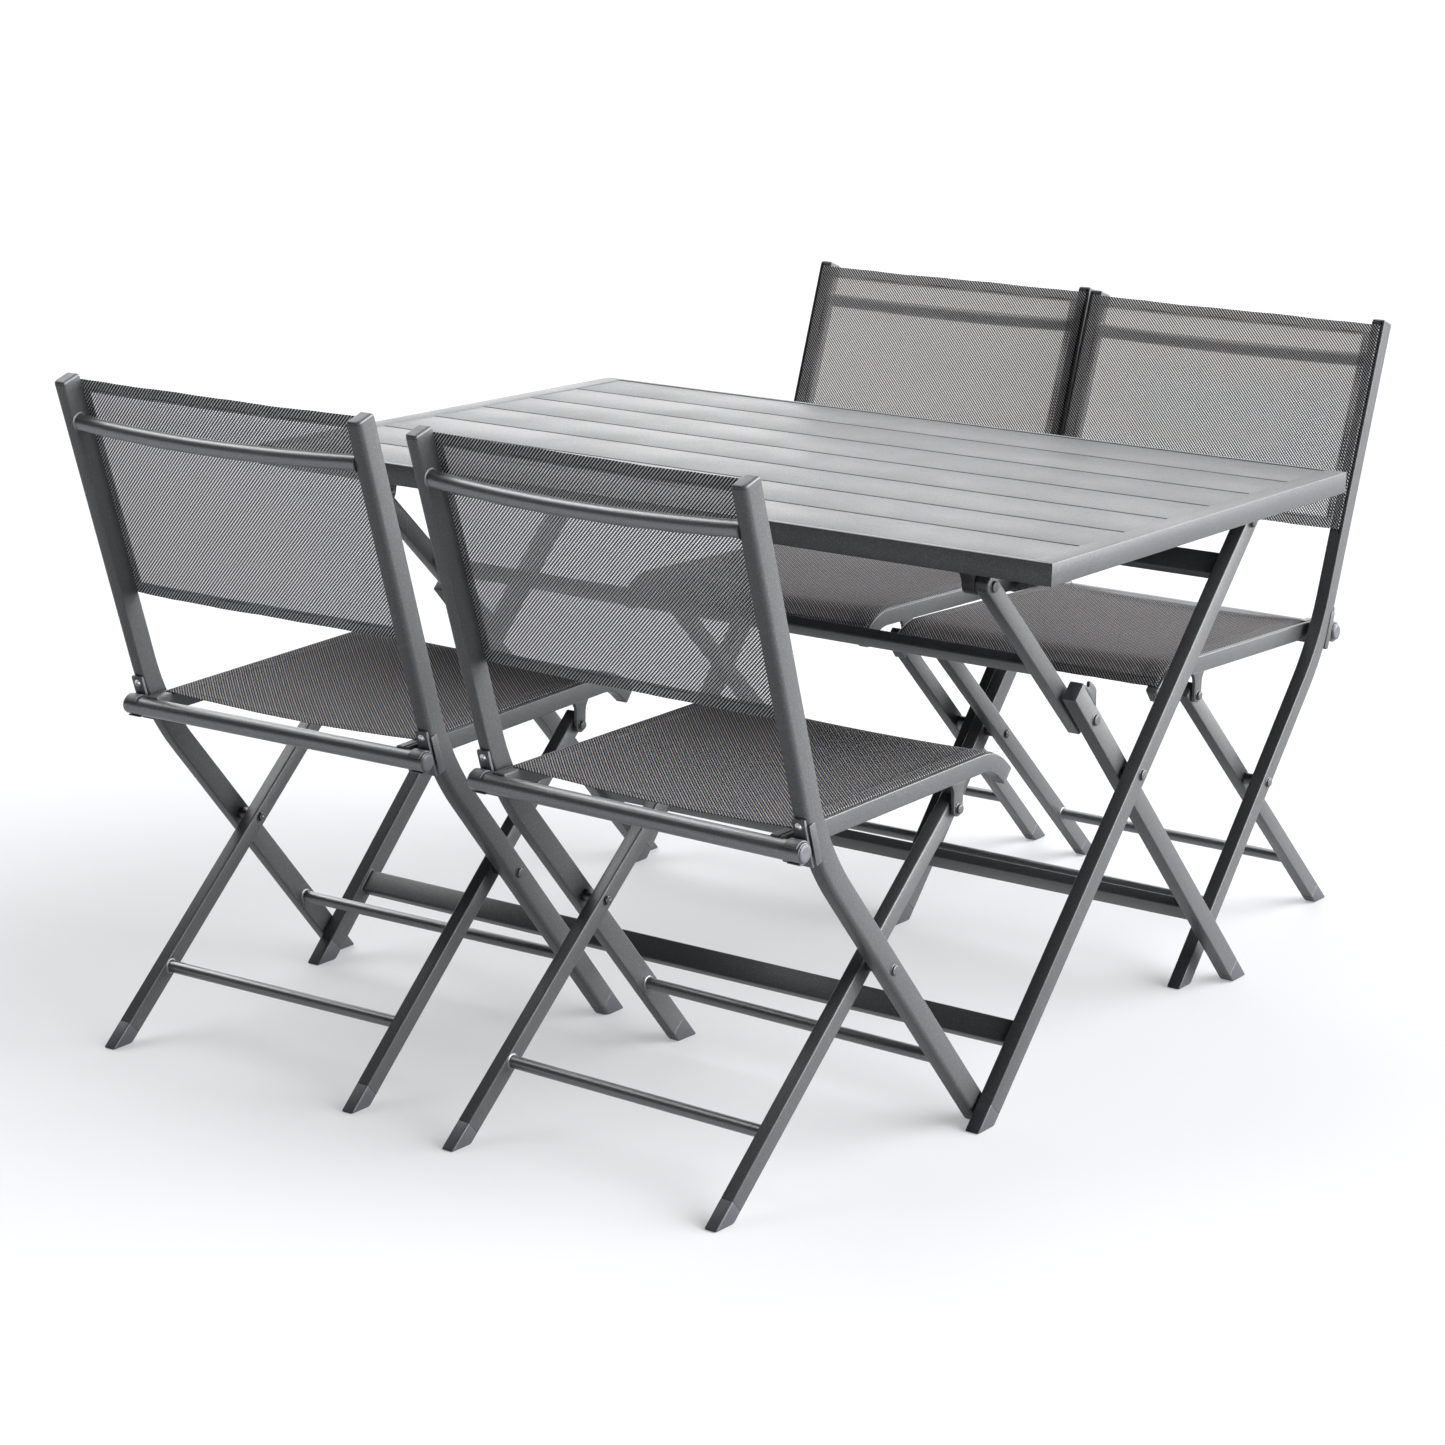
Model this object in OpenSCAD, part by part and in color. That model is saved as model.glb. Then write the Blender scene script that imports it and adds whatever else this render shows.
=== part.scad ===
// Patio dining set: a folding table with a slatted top, and four folding
// chairs with mesh slings, standing open around it. Millimetres, +Z up.
// X runs along the table, chairs 1 and 2 stand on its -Y side and
// chairs 3 and 4 on its +Y side. The floor is Z = 0.
//
// Table, side view (YZ): the outer legs run from the near floor up to a
// bolt under the far side of the top. The inner legs cross them at the
// cross bolt and end just above the elbow bolt, where the brace arms
// come down from the near side of the top. Outer legs, inner legs,
// brace and top are a four-bar linkage that folds flat.
//
// Chair, side view: posts carry the back sling and curve forward to the
// front feet. Straight rear legs cross them at the pivot bolt and carry
// the seat on a second bolt; the seat's rear bar snaps into clips on
// the posts. Pulled out of the clips, the seat drops behind the posts.

/* [Table top] */
// Length of the table top
top_len = 1224; // [1100:1:1500]
// Width of the table top
top_wid = 788; // [700:1:900]
// Height of the table top
top_z = 720; // [680:1:760]
// Height of the rim
rim_h = 28; // [20:1:40]
// Width of the rim on the long sides
rim_side = 8; // [5:0.5:20]
// Width of the rim on the short ends
rim_end = 28; // [15:1:40]
// Number of slats
slats = 7; // [5:1:10]
// Gap between slats
slat_gap = 4; // [2:0.5:8]
// How far the slats lie below the rim's top edge
slat_drop = 1; // [0.5:0.5:3]
// Thickness of a slat
slat_t = 14; // [8:1:20]

/* [Table legs] */
// Outer face of the outer legs, from the middle of the table
leg_out = 540; // [480:1:580]
// Width of a table leg tube, along X
leg_w = 20; // [15:1:30]
// Depth of a table leg tube
leg_d = 28; // [20:1:40]
// Outer leg bolt under the top: distance to the far side
bolt_far = 268; // [230:1:300]
// Brace bolt under the top: distance to the near side
bolt_near = 312; // [280:1:330]
// Height of both bolts under the top
bolt_z = 662; // [640:1:675]
// Cross bolt where the table legs cross: Y
cross_y = -8; // [-40:1:40]
// Cross bolt where the table legs cross: height
cross_z = 374.7; // [340:0.1:400]
// Where the inner legs meet the floor: Y
inner_foot = 362; // [330:1:390]
// Width of a brace arm, along X
arm_w = 18; // [12:1:25]
// Depth of a brace arm
arm_d = 25; // [18:1:32]

/* [Chair] */
// Lean of the backrest from upright, degrees
back_lean = 18.5; // [10:0.5:25]
// Lean of the lower posts from upright, degrees
foot_lean = 41.5; // [35:0.5:48]
// Radius of the bend in the posts
bend_r = 350; // [150:10:500]
// Height of the chair
chair_z = 871; // [820:1:920]
// Outer face of the posts, from the middle of the chair
post_out = 241; // [220:1:260]
// Width of a post, along X
post_w = 20; // [16:1:26]
// Depth of a post
post_d = 30; // [24:1:36]
// Rear seat bar: height of its centre
bar_z = 430; // [400:1:450]
// Rear seat bar: diameter
bar_d = 24; // [18:1:30]
// Leg pivot bolt: Y
pivot_y = 178; // [150:1:200]
// Leg pivot bolt: height
pivot_z = 246; // [220:1:270]
// Seat bolt: Y
hang_y = 350; // [320:1:370]
// Seat bolt: height
hang_z = 400; // [380:1:420]
// Outer face of the rear legs
rear_out = 205; // [190:1:215]
// Width of a rear leg tube, along X
rear_w = 18; // [14:1:22]
// Depth of a rear leg tube
rear_d = 24; // [20:1:30]
// Outer face of the seat rails
rail_out = 212; // [200:1:216]
// Width of a seat rail, along X
rail_w = 18; // [14:1:22]
// Depth of a seat rail
rail_d = 24; // [20:1:30]
// Diameter of the round rods between the feet
rod_d = 16; // [12:1:20]

/* [Places] */
// Moves the whole set along Y, so that it is centred
set_y = 9.25; // [-50:0.01:50]
// Chair centres: X
chair_x = [-311.5, 264, -259, 233.5];
// Chair rear-bar line: Y
chair_y = [-690.8, -716.7, 701.5, 680.1];
// Turn of each chair, degrees
chair_turn = [1.4, -1.8, 181, 179.6];

/* [Hidden] */
// Which node is drawn
$fn = 48;
eps = 0.01;
fit_gap = 0.05;            // radial clearance of every turning bolt
weld_gap = 0.02;           // pieces that are welded together stay separate solids
big = 3000;
bolt_r = 4;
graphite = [0.30, 0.31, 0.32];
graphite_dark = [0.22, 0.23, 0.24];
plastic = [0.13, 0.13, 0.14];
mesh_grey = [0.38, 0.38, 0.38];
steel = [0.40, 0.40, 0.41];

chairs = [1:4];
CHAIR_NODES = ["posts", "cross_rails", "back_sling", "bar_clips", "post_plugs",
               "rear_legs", "rear_feet", "pivot_bolts",
               "seat_frame", "seat_sling", "seat_plugs"];
TABLE_NODES = ["table_rim", "table_slats", "table_battens", "table_brackets",
               "outer_legs", "outer_rails", "outer_leg_plugs", "outer_top_bolts",
               "inner_legs", "inner_rail", "inner_leg_plugs", "cross_bolts",
               "elbow_bolts", "brace_arms", "brace_rail", "brace_top_bolts"];

// --- table linkage, all points in the YZ plane
PA = [bolt_far, bolt_z];                    // outer legs to top
PB = [-bolt_near, bolt_z];                  // brace to top
PC = [cross_y, cross_z];                    // outer legs to inner legs
PF = [inner_foot, 0];
outer_dir = (PA - PC) / norm(PA - PC);
inner_dir = (PC - PF) / norm(PC - PF);
// elbow: on the inner legs, where the linkage folds flat
qb = PB - PC;
sb = norm(PA - PB) - norm(PA - PC);
elbow_s = (qb * qb - sb * sb) / (2 * (qb * inner_dir + sb));
PE = PC + elbow_s * inner_dir;
brace_dir = (PE - PB) / norm(PE - PB);
outer_foot = PC - outer_dir * cross_z / outer_dir[1];
inner_s = leg_out - leg_w - 6;              // outer face of the inner legs
arm_s = inner_s - leg_w - 6;                // outer face of the brace arms
inner_end = 62;                             // inner leg past the elbow
outer_end = 16;                             // outer leg past its top bolt
foot_len = 30;                              // plastic foot along the leg
cap_len = 26;
slat_top = top_z - slat_drop;
slat_bot = slat_top - slat_t;
rim_bot = top_z - rim_h;
ledge = 14;                                 // shelf inside the rim that holds the slats
slat_w = (top_wid - 2 * rim_side - slat_gap * (slats - 1)) / slats;

// --- chair geometry, all points in the chair's own YZ plane
back_up = [-sin(back_lean), cos(back_lean)];
back_fw = [cos(back_lean), sin(back_lean)];
foot_dn = [sin(foot_lean), -cos(foot_lean)];
clip_t = 4;
bar_y = -12;
bar_back = post_d / 2 + clip_t + 0.5 + bar_d / 2;   // bar centre behind post centre line
P0 = [bar_y, bar_z] + bar_back * back_fw;   // post centre line beside the bar
foot_y = pivot_y + pivot_z * tan(foot_lean);
// the two centre lines of a post meet at PV
turn = foot_lean - back_lean;
w0 = [foot_y, 0] - P0;
PV = P0 - back_up * ((w0[0] * foot_dn[1] - w0[1] * foot_dn[0]) / (back_up[0] * foot_dn[1] - back_up[1] * foot_dn[0])) * -1;
bend_t = bend_r * tan(turn / 2);
cap_t = 4;
post_top_u = (chair_z - cap_t * cos(back_lean) - post_d / 2 * sin(back_lean) - P0[1]) / back_up[1];
hang = [hang_y, hang_z];
pivot = [pivot_y, pivot_z];
rear_dir = (hang - pivot) / norm(hang - pivot);
rear_foot = pivot - rear_dir * pivot_z / rear_dir[1];
seat_slope = 1.6;
seat_top_z = 446;                           // rail top at the sling's rear edge
seat_rear_y = 28;
nose_y = 402;                               // rails start to curve down here
nose_r = 70;
nose_dip = 39;
rail_c0 = [bar_y, seat_top_z - rail_d / 2 + (bar_y - seat_rear_y) * tan(seat_slope)];
rail_dir = [cos(seat_slope), sin(seat_slope)];
rail_nrm = [-sin(seat_slope), cos(seat_slope)];
nose_c0 = rail_c0 + rail_dir * ((nose_y - bar_y) / rail_dir[0]);
nose_o = nose_c0 - rail_nrm * nose_r;
nose_c1 = nose_o + nose_r * [sin(nose_dip), cos(nose_dip)];
nose_dir = [cos(nose_dip), -sin(nose_dip)];
nose_tail = 12;
sling_t = 2;
sling_edge = 6;                             // slings end this far inside the outer faces

// --- shapes
// rectangle with softened corners, centred: n + 1 points round each corner
module rrect(w, d, r, n = 1) {
    polygon([for (q = [0 : 3]) for (i = [0 : n]) let (a = 90 * (q + i / n))
        [(q == 0 || q == 3 ? 1 : -1) * (w / 2 - r) + r * cos(a), (q < 2 ? 1 : -1) * (d / 2 - r) + r * sin(a)]]);
}

// bar of section w (along X) by d, from point a along direction v, s0 to s1
module bar_yz(a, v, s0, s1, w, d, r = 2, n = 1) {
    translate([0, a[0] + v[0] * s0, a[1] + v[1] * s0])
        rotate([-atan2(v[0], v[1]), 0, 0])
            linear_extrude(s1 - s0) rrect(w, d, r, n);
}

// cylinder along X from x0 to x1 at point p of the YZ plane
module pin_x(p, x0, x1, r, fn = 48) {
    translate([x0, p[0], p[1]]) rotate([0, 90, 0]) cylinder(h = x1 - x0, r = r, $fn = fn);
}

// outline drawn in (Y, Z), made solid from x0 to x1
module slab_x(x0, x1) {
    translate([x0, 0, 0]) rotate([90, 0, 90]) linear_extrude(x1 - x0) children();
}

// section swept round an arc in the YZ plane: centre o, from angle a0 over sweep
// degrees, where a point at angle a lies at o + r * [sin a, -cos a]
module arc_yz(o, a0, sweep) {
    translate([0, o[0], o[1]]) rotate([0, 90, 0]) rotate([0, 0, a0])
        rotate_extrude(angle = sweep, $fn = 96) children();
}

module floor_cut() {
    difference() {
        children();
        translate([0, 0, -big / 2]) cube(big, center = true);
    }
}

module both_sides() {
    children();
    mirror([1, 0, 0]) children();
}

module place_set() { translate([0, set_y, 0]) children(); }

module place(k) {
    translate([chair_x[k - 1], chair_y[k - 1] + set_y, 0]) rotate([0, 0, chair_turn[k - 1]]) children();
}

// head and nut of a bolt along X: head on the outer face, nut on the inner
module bolt_x(p, x0, x1, head_r = 7, head_t = 4, nut_t = 5) {
    pin_x(p, x0 - nut_t / 2, x1 + head_t / 2, bolt_r);
    pin_x(p, x1, x1 + head_t * 0.6, head_r);
    pin_x(p, x1 + head_t * 0.5, x1 + head_t, head_r - 1.5);
    pin_x(p, x0 - nut_t, x0, head_r - 0.5, 6);
}

// --- table top
module rim_long() {
    translate([0, top_wid / 2 - rim_side / 2, rim_bot + rim_h / 2])
        cube([top_len - 2 * rim_end, rim_side, rim_h], center = true);
    translate([0, top_wid / 2 - rim_side / 2 - ledge / 2, (rim_bot + slat_bot) / 2])
        cube([top_len - 2 * rim_end, rim_side + ledge, slat_bot - rim_bot], center = true);
}

module rim_short() {
    translate([top_len / 2 - rim_end / 2, 0, rim_bot + rim_h / 2])
        cube([rim_end, top_wid, rim_h], center = true);
}

module table_rim() {
    color(graphite) place_set() {
        for (a = [0, 180]) rotate([0, 0, a]) {
            rim_long();
            rim_short();
        }
    }
}

module table_slats() {
    color(graphite) place_set() for (i = [0 : slats - 1])
        translate([0, (i - (slats - 1) / 2) * (slat_w + slat_gap), slat_bot + slat_t / 2])
            rotate([0, 90, 0]) linear_extrude(top_len - 2 * rim_end, center = true)
                rrect(slat_t, slat_w, 0.8);
}

// flat bars across the underside: the end ones carry the brackets
module batten(x0, x1) {
    translate([x0, -(top_wid / 2 - rim_side - ledge), rim_bot])
        cube([x1 - x0, top_wid - 2 * (rim_side + ledge), slat_bot - rim_bot]);
}

module table_battens() {
    color(graphite_dark) place_set() {
        batten(-20, 20);
        both_sides() batten(arm_s - arm_w - 20, leg_out - leg_w - 1);
    }
}

module bracket(p, x0, x1, flare) {
    slab_x(x0, x1) difference() {
        union() {
            translate(p) circle(13);
            polygon([[p[0] - 13, p[1]], [p[0] + 13, p[1]],
                     [p[0] + flare, rim_bot], [p[0] - flare, rim_bot]]);
        }
        translate(p) circle(bolt_r + fit_gap);
    }
}

module table_brackets() {
    color(plastic) place_set() both_sides() {
        bracket(PA, leg_out - leg_w - 20, leg_out - leg_w - 1, 20);
        bracket(PB, arm_s - arm_w - 20, arm_s - arm_w - 1, 20);
        // flat shoes that carry the brackets on the battens
        translate([leg_out - leg_w - 10.5, PA[0], rim_bot - 2]) cube([19, 56, 4], center = true);
        translate([arm_s - arm_w - 10.5, PB[0], rim_bot - 2]) cube([19, 56, 4], center = true);
    }
}

// --- outer legs of the table (the body that everything hangs on)
module outer_legs() {
    color(graphite) place_set() both_sides() difference() {
        translate([leg_out - leg_w / 2, 0, 0])
            bar_yz(outer_foot, outer_dir, foot_len, norm(PA - outer_foot) + outer_end, leg_w, leg_d);
        pin_x(PA, leg_out - leg_w - 5, leg_out + 5, bolt_r + fit_gap);
        pin_x(PC, leg_out - leg_w - 5, leg_out + 5, bolt_r + fit_gap);
    }
}

rail_t = 15;
module flat_rail(a, v, s0, s1, half) {
    translate([0, a[0] + v[0] * s0, a[1] + v[1] * s0]) rotate([-atan2(v[0], v[1]), 0, 0])
        translate([-half, -rail_t / 2, 0]) cube([2 * half, rail_t, s1 - s0]);
}

module outer_rails() {
    color(graphite) place_set() {
        flat_rail(PC, outer_dir, 306, 340, leg_out - leg_w);
        flat_rail(PC, outer_dir, -404, -372, leg_out - leg_w);
    }
}

module outer_leg_plugs() {
    color(plastic) place_set() both_sides() translate([leg_out - leg_w / 2, 0, 0]) {
        floor_cut() bar_yz(outer_foot, outer_dir, -40, foot_len, leg_w, leg_d);
        bar_yz(PA, outer_dir, outer_end, outer_end + 3, leg_w, leg_d);
    }
}

module outer_top_bolts() {
    color(steel) place_set() both_sides()
        bolt_x(PA, leg_out - leg_w - 20, leg_out);
}

module cross_bolts() {
    color(steel) place_set() both_sides()
        bolt_x(PC, inner_s - leg_w, leg_out);
}

// --- inner legs of the table, with the catch at their upper ends
catch_t = 5;
catch_out = 14;
module inner_legs() {
    color(graphite) place_set() both_sides() {
        difference() {
            translate([inner_s - leg_w / 2, 0, 0])
                bar_yz(PF, inner_dir, foot_len, norm(PE - PF) + inner_end - 4, leg_w, leg_d);
            pin_x(PC, inner_s - leg_w - 5, inner_s + 5, bolt_r + fit_gap);
            pin_x(PE, inner_s - leg_w - 5, inner_s + 5, bolt_r + fit_gap);
        }
        // catch plate on the far edge of the tube
        translate([inner_s - catch_t, PE[0], PE[1]]) rotate([-atan2(inner_dir[0], inner_dir[1]), 0, 0])
            translate([0, leg_d / 2 + weld_gap, 26]) rotate([90, 0, 90]) linear_extrude(catch_t)
                difference() {
                    polygon([[0, -8], [catch_out, 2], [catch_out - 2, 22], [0, 30]]);
                    translate([3, 26]) circle(6);
                }
    }
}

module inner_rail() {
    color(graphite) place_set() flat_rail(PC, -inner_dir, 333, 367, inner_s - leg_w);
}

module inner_leg_plugs() {
    color(plastic) place_set() both_sides() translate([inner_s - leg_w / 2, 0, 0]) {
        floor_cut() bar_yz(PF, inner_dir, -40, foot_len, leg_w, leg_d);
        bar_yz(PE, inner_dir, inner_end - 4, inner_end, leg_w, leg_d);
    }
}

// the elbow bolt stops just short of the brace arm: the linkage is open here
module elbow_bolts() {
    color(steel) place_set() both_sides() bolt_x(PE, inner_s - leg_w, inner_s);
}

// --- brace
arm_past = 25;
module brace_arms() {
    color(graphite) place_set() both_sides() difference() {
        translate([arm_s - arm_w / 2, 0, 0])
            bar_yz(PB, brace_dir, -15, norm(PE - PB) + arm_past, arm_w, arm_d);
        pin_x(PB, arm_s - arm_w - 5, arm_s + 5, bolt_r + fit_gap);
        pin_x(PE, arm_s - arm_w - 5, arm_s + 5, bolt_r + fit_gap);
        // chamfered corners beside the top bolt
        for (s = [-1, 1]) translate([arm_s, PB[0], PB[1]])
            rotate([-atan2(brace_dir[0], brace_dir[1]), 0, 0])
                translate([0, s * arm_d / 2, -15]) rotate([45, 0, 0]) cube([3 * arm_w, 11, 11], center = true);
    }
}

module brace_rail() {
    color(graphite) place_set() flat_rail(PB, brace_dir, 170, 195, arm_s - arm_w);
}

module brace_top_bolts() {
    color(steel) place_set() both_sides()
        bolt_x(PB, arm_s - arm_w - 20, arm_s);
}

// --- chair: posts, with the back sling
// line that follows the post at distance h in front of its centre line, top to foot
bend_n = 12;
bend_o = PV + back_up * bend_t + back_fw * bend_r;
foot_fw = [cos(foot_lean), sin(foot_lean)];
function post_line(h) = concat(
    [P0 + back_up * post_top_u + back_fw * h],
    [for (i = [0 : bend_n]) let (a = back_lean + turn * i / bend_n)
        bend_o - (bend_r - h) * [cos(a), sin(a)]],
    [[foot_y, 0] - foot_dn * foot_len + foot_fw * h]);

module post_tube() {
    slab_x(post_out - post_w, post_out)
        polygon(concat(post_line(-post_d / 2), flip(post_line(post_d / 2))));
}

// things fixed to the back, drawn as (X, forward, up) from the post line beside the bar
module on_back() {
    translate([0, P0[0], P0[1]]) rotate([back_lean, 0, 0]) children();
}

sling_f = post_d / 2 + sling_t / 2;         // the sling lies on the posts' front faces
sling_u0 = 141;
sling_u1 = 441;
module chair_posts(k) {
    color(graphite) place(k) both_sides() difference() {
        post_tube();
        pin_x(pivot, 200, 260, bolt_r + fit_gap);
    }
}

bow = 16;
module chair_cross_rails(k) {
    half = post_out - post_w;
    r = (half * half + bow * bow) / (2 * bow);
    a = asin((half + 20) / r);
    color(graphite) place(k) {
        // bowed rail behind the sling
        intersection() {
            on_back() translate([0, r - bow - 6, 392]) rotate([0, 0, -90 - a])
                rotate_extrude(angle = 2 * a, $fn = 400) translate([r, 0]) circle(10);
            cube([2 * half, big, big], center = true);
        }
        // round rod between the front feet
        pin_x([foot_y, 0] - foot_dn * 130, -half, half, rod_d / 2);
    }
}

module chair_back_sling(k) {
    color(mesh_grey) place(k) on_back()
        translate([-(post_out - sling_edge), sling_f - sling_t / 2, sling_u0])
            cube([2 * (post_out - sling_edge), sling_t, sling_u1 - sling_u0]);
}

clip_w = 18;
module clip_shape() {
    // plate on the post's rear face
    translate([0, -post_d / 2 - clip_t, -28]) cube([clip_w, clip_t, 62]);
    // jaws round the bar, open to the rear
    translate([0, -bar_back, 0]) rotate([0, 90, 0]) difference() {
        cylinder(h = clip_w, r = bar_d / 2 + 2.8);
        translate([0, 0, -1]) cylinder(h = clip_w + 2, r = bar_d / 2 + 0.4);
        translate([0, -20, clip_w / 2]) cube([22, 28, clip_w + 2], center = true);
        translate([0, bar_back - post_d / 2 - clip_t + 10 + eps, clip_w / 2])
            cube([60, 20, clip_w + 2], center = true);
    }
    // screw head
    translate([clip_w / 2, -post_d / 2 - clip_t + eps, 26]) rotate([90, 0, 0]) cylinder(h = 2.4, r = 4.5);
}

module chair_bar_clips(k) {
    color(plastic) place(k) both_sides() on_back() translate([post_out - post_w, 0, 0]) clip_shape();
}

module chair_post_plugs(k) {
    color(plastic) place(k) both_sides() translate([post_out - post_w / 2, 0, 0]) {
        floor_cut() bar_yz([foot_y, 0], -foot_dn, -45, foot_len, post_w, post_d, 1.5);
        bar_yz(P0, back_up, post_top_u, post_top_u + cap_t, post_w, post_d, 1.5);
    }
}

// --- chair: rear legs
module chair_rear_legs(k) {
    reach = norm(hang - rear_foot);
    color(graphite) place(k) {
        both_sides() difference() {
            translate([rear_out - rear_w / 2, 0, 0])
                bar_yz(rear_foot, rear_dir, foot_len, reach + 13, rear_w, rear_d);
            pin_x(hang, 150, 250, bolt_r + fit_gap);
            pin_x(pivot, 150, 250, bolt_r + fit_gap);
        }
        pin_x(pivot - rear_dir * 242, -rear_out + rear_w + weld_gap, rear_out - rear_w - weld_gap, rod_d / 2);
    }
}

module chair_rear_feet(k) {
    color(plastic) place(k) both_sides() floor_cut()
        translate([rear_out - rear_w / 2, 0, 0])
            bar_yz(rear_foot, rear_dir, -40, foot_len, rear_w, rear_d);
}

lug_t = 5;
module chair_pivot_bolts(k) {
    color(steel) place(k) both_sides() {
        bolt_x(pivot, rear_out - rear_w, post_out, 6.5, 3.5);
        // spacer between rear leg and post
        pin_x(pivot, rear_out + 0.3, post_out - post_w - 0.3, 8);
        bolt_x(hang, rear_out - rear_w, rail_out, 7, 5);
    }
}

// --- chair: seat
// line that follows the rail at height h above its centre line, from y0 to the nose
nose_n = 12;
function nose_line(h, y0, tail) = concat(
    [rail_c0 + rail_dir * ((y0 - bar_y) / rail_dir[0]) + rail_nrm * h],
    [for (i = [0 : nose_n]) let (a = seat_slope - (nose_dip + seat_slope) * i / nose_n)
        nose_o + (nose_r + h) * [-sin(a), cos(a)]],
    [nose_c1 + nose_dir * tail + h * [sin(nose_dip), cos(nose_dip)]]);
function flip(v) = [for (i = [len(v) - 1 : -1 : 0]) v[i]];
module nose_band(h0, h1, y0, tail) {
    polygon(concat(nose_line(h1, y0, tail), flip(nose_line(h0, y0, tail))));
}

module lug() {
    under = rail_c0[1] + (hang_y - bar_y) * tan(seat_slope) - rail_d / 2 - hang_z;
    slab_x(rail_out - lug_t, rail_out) translate(hang) {
        circle(10);
        polygon([[-10, 0], [10, 0], [10, under - 12], [17, under + 2], [-17, under + 2], [-10, under - 12]]);
    }
}

module chair_seat_frame(k) {
    color(graphite) place(k) {
        both_sides() difference() {
            union() {
                slab_x(rail_out - rail_w, rail_out) nose_band(-rail_d / 2, rail_d / 2, bar_y, nose_tail);
                lug();
            }
            pin_x(hang, 150, 250, bolt_r + fit_gap);
            pin_x([bar_y, bar_z], 0, 300, bar_d / 2 + weld_gap);
        }
        pin_x([bar_y, bar_z], -(post_out + 1), post_out + 1, bar_d / 2);
    }
}

module chair_seat_sling(k) {
    half = rail_out - sling_edge;
    color(mesh_grey) place(k) slab_x(-half, half)
        nose_band(rail_d / 2, rail_d / 2 + sling_t, seat_rear_y, nose_tail - 2);
}

module chair_seat_plugs(k) {
    color(plastic) place(k) both_sides() {
        // rail front ends
        translate([rail_out - rail_w / 2, 0, 0])
            bar_yz(nose_c1, nose_dir, nose_tail, nose_tail + 4, rail_w, rail_d);
        // bar ends
        translate([post_out + 1, bar_y, bar_z]) rotate([0, 90, 0])
            cylinder(h = 2, r1 = bar_d / 2, r2 = bar_d / 2 - 1.5);
        // corner blocks under the rails' rear ends, outside the folded rear legs
        under = rail_c0[1] - rail_d / 2;
        slab_x(rear_out + 0.6, rail_out - 1) difference() {
            polygon([[bar_y + 8, under - 9], [bar_y + 22, under - 9],
                     [bar_y + 60, under + 60 * tan(seat_slope)],
                     [bar_y, under]]);
            translate([bar_y, bar_z]) circle(bar_d / 2);
        }
    }
}

// --- drawing
table_rim();
table_slats();
table_battens();
table_brackets();
outer_legs();
outer_rails();
outer_leg_plugs();
outer_top_bolts();
inner_legs();
inner_rail();
inner_leg_plugs();
cross_bolts();
elbow_bolts();
brace_arms();
brace_rail();
brace_top_bolts();
for (k = chairs) {
    chair_posts(k);
    chair_cross_rails(k);
    chair_back_sling(k);
    chair_bar_clips(k);
    chair_post_plugs(k);
    chair_rear_legs(k);
    chair_rear_feet(k);
    chair_pivot_bolts(k);
    chair_seat_frame(k);
    chair_seat_sling(k);
    chair_seat_plugs(k);
}
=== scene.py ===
import math

import bmesh
import bpy
from mathutils import Matrix, Vector


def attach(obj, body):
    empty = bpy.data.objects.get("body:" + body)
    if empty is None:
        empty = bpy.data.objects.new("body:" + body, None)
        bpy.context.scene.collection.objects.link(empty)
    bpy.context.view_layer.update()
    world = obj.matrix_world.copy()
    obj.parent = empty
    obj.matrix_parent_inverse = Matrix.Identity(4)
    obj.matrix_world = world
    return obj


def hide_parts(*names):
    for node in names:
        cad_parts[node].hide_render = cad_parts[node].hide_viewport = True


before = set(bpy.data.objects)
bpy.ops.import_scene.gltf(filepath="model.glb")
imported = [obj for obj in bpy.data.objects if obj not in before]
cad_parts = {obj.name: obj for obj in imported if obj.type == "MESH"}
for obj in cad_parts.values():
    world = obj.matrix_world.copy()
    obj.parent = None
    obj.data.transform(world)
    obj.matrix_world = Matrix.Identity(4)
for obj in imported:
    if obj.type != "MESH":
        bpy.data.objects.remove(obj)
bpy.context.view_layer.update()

# Folding patio table and four folding sling chairs. Lengths are millimetres and
# become metres where meshes are made; angles are degrees. A chair is built once
# in its own frame (X across, Y forward, Z up) and placed four times. A point of
# two numbers is (Y, Z) in the plane that the joints turn in. In the names, OUT
# is the distance of a tube's outer face from the middle, W its width across and
# D its depth.
MM = 0.001
SET_Y = 9.25  # brings the middle of the whole set to the origin
CHAIRS = (  # X, Y and turn of each chair
    (-311.5, -690.8, 1.4),
    (264.0, -716.7, -1.8),
    (-259.0, 701.5, 181.0),
    (233.5, 680.1, 179.6),
)

# table
TOP_L, TOP_W, TOP_Z = 1224.0, 788.0, 720.0
RIM_H, RIM_SIDE, RIM_END = 28.0, 8.0, 28.0  # height, and width at sides and ends
SLATS, SLAT_GAP, SLAT_DROP, SLAT_T = 7, 4.0, 1.0, 14.0
LEG_OUT, LEG_W, LEG_D, LEG_R = 540.0, 20.0, 28.0, 1.8
ARM_W, ARM_D = 18.0, 25.0
RAIL_T, RAIL_R = 15.0, 2.2
SIDE_CLEAR = 6.0  # between members that pass each other
BRACKET_T = 19.0
FOOT = 30.0  # length of leg that its foot plug takes up

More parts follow.
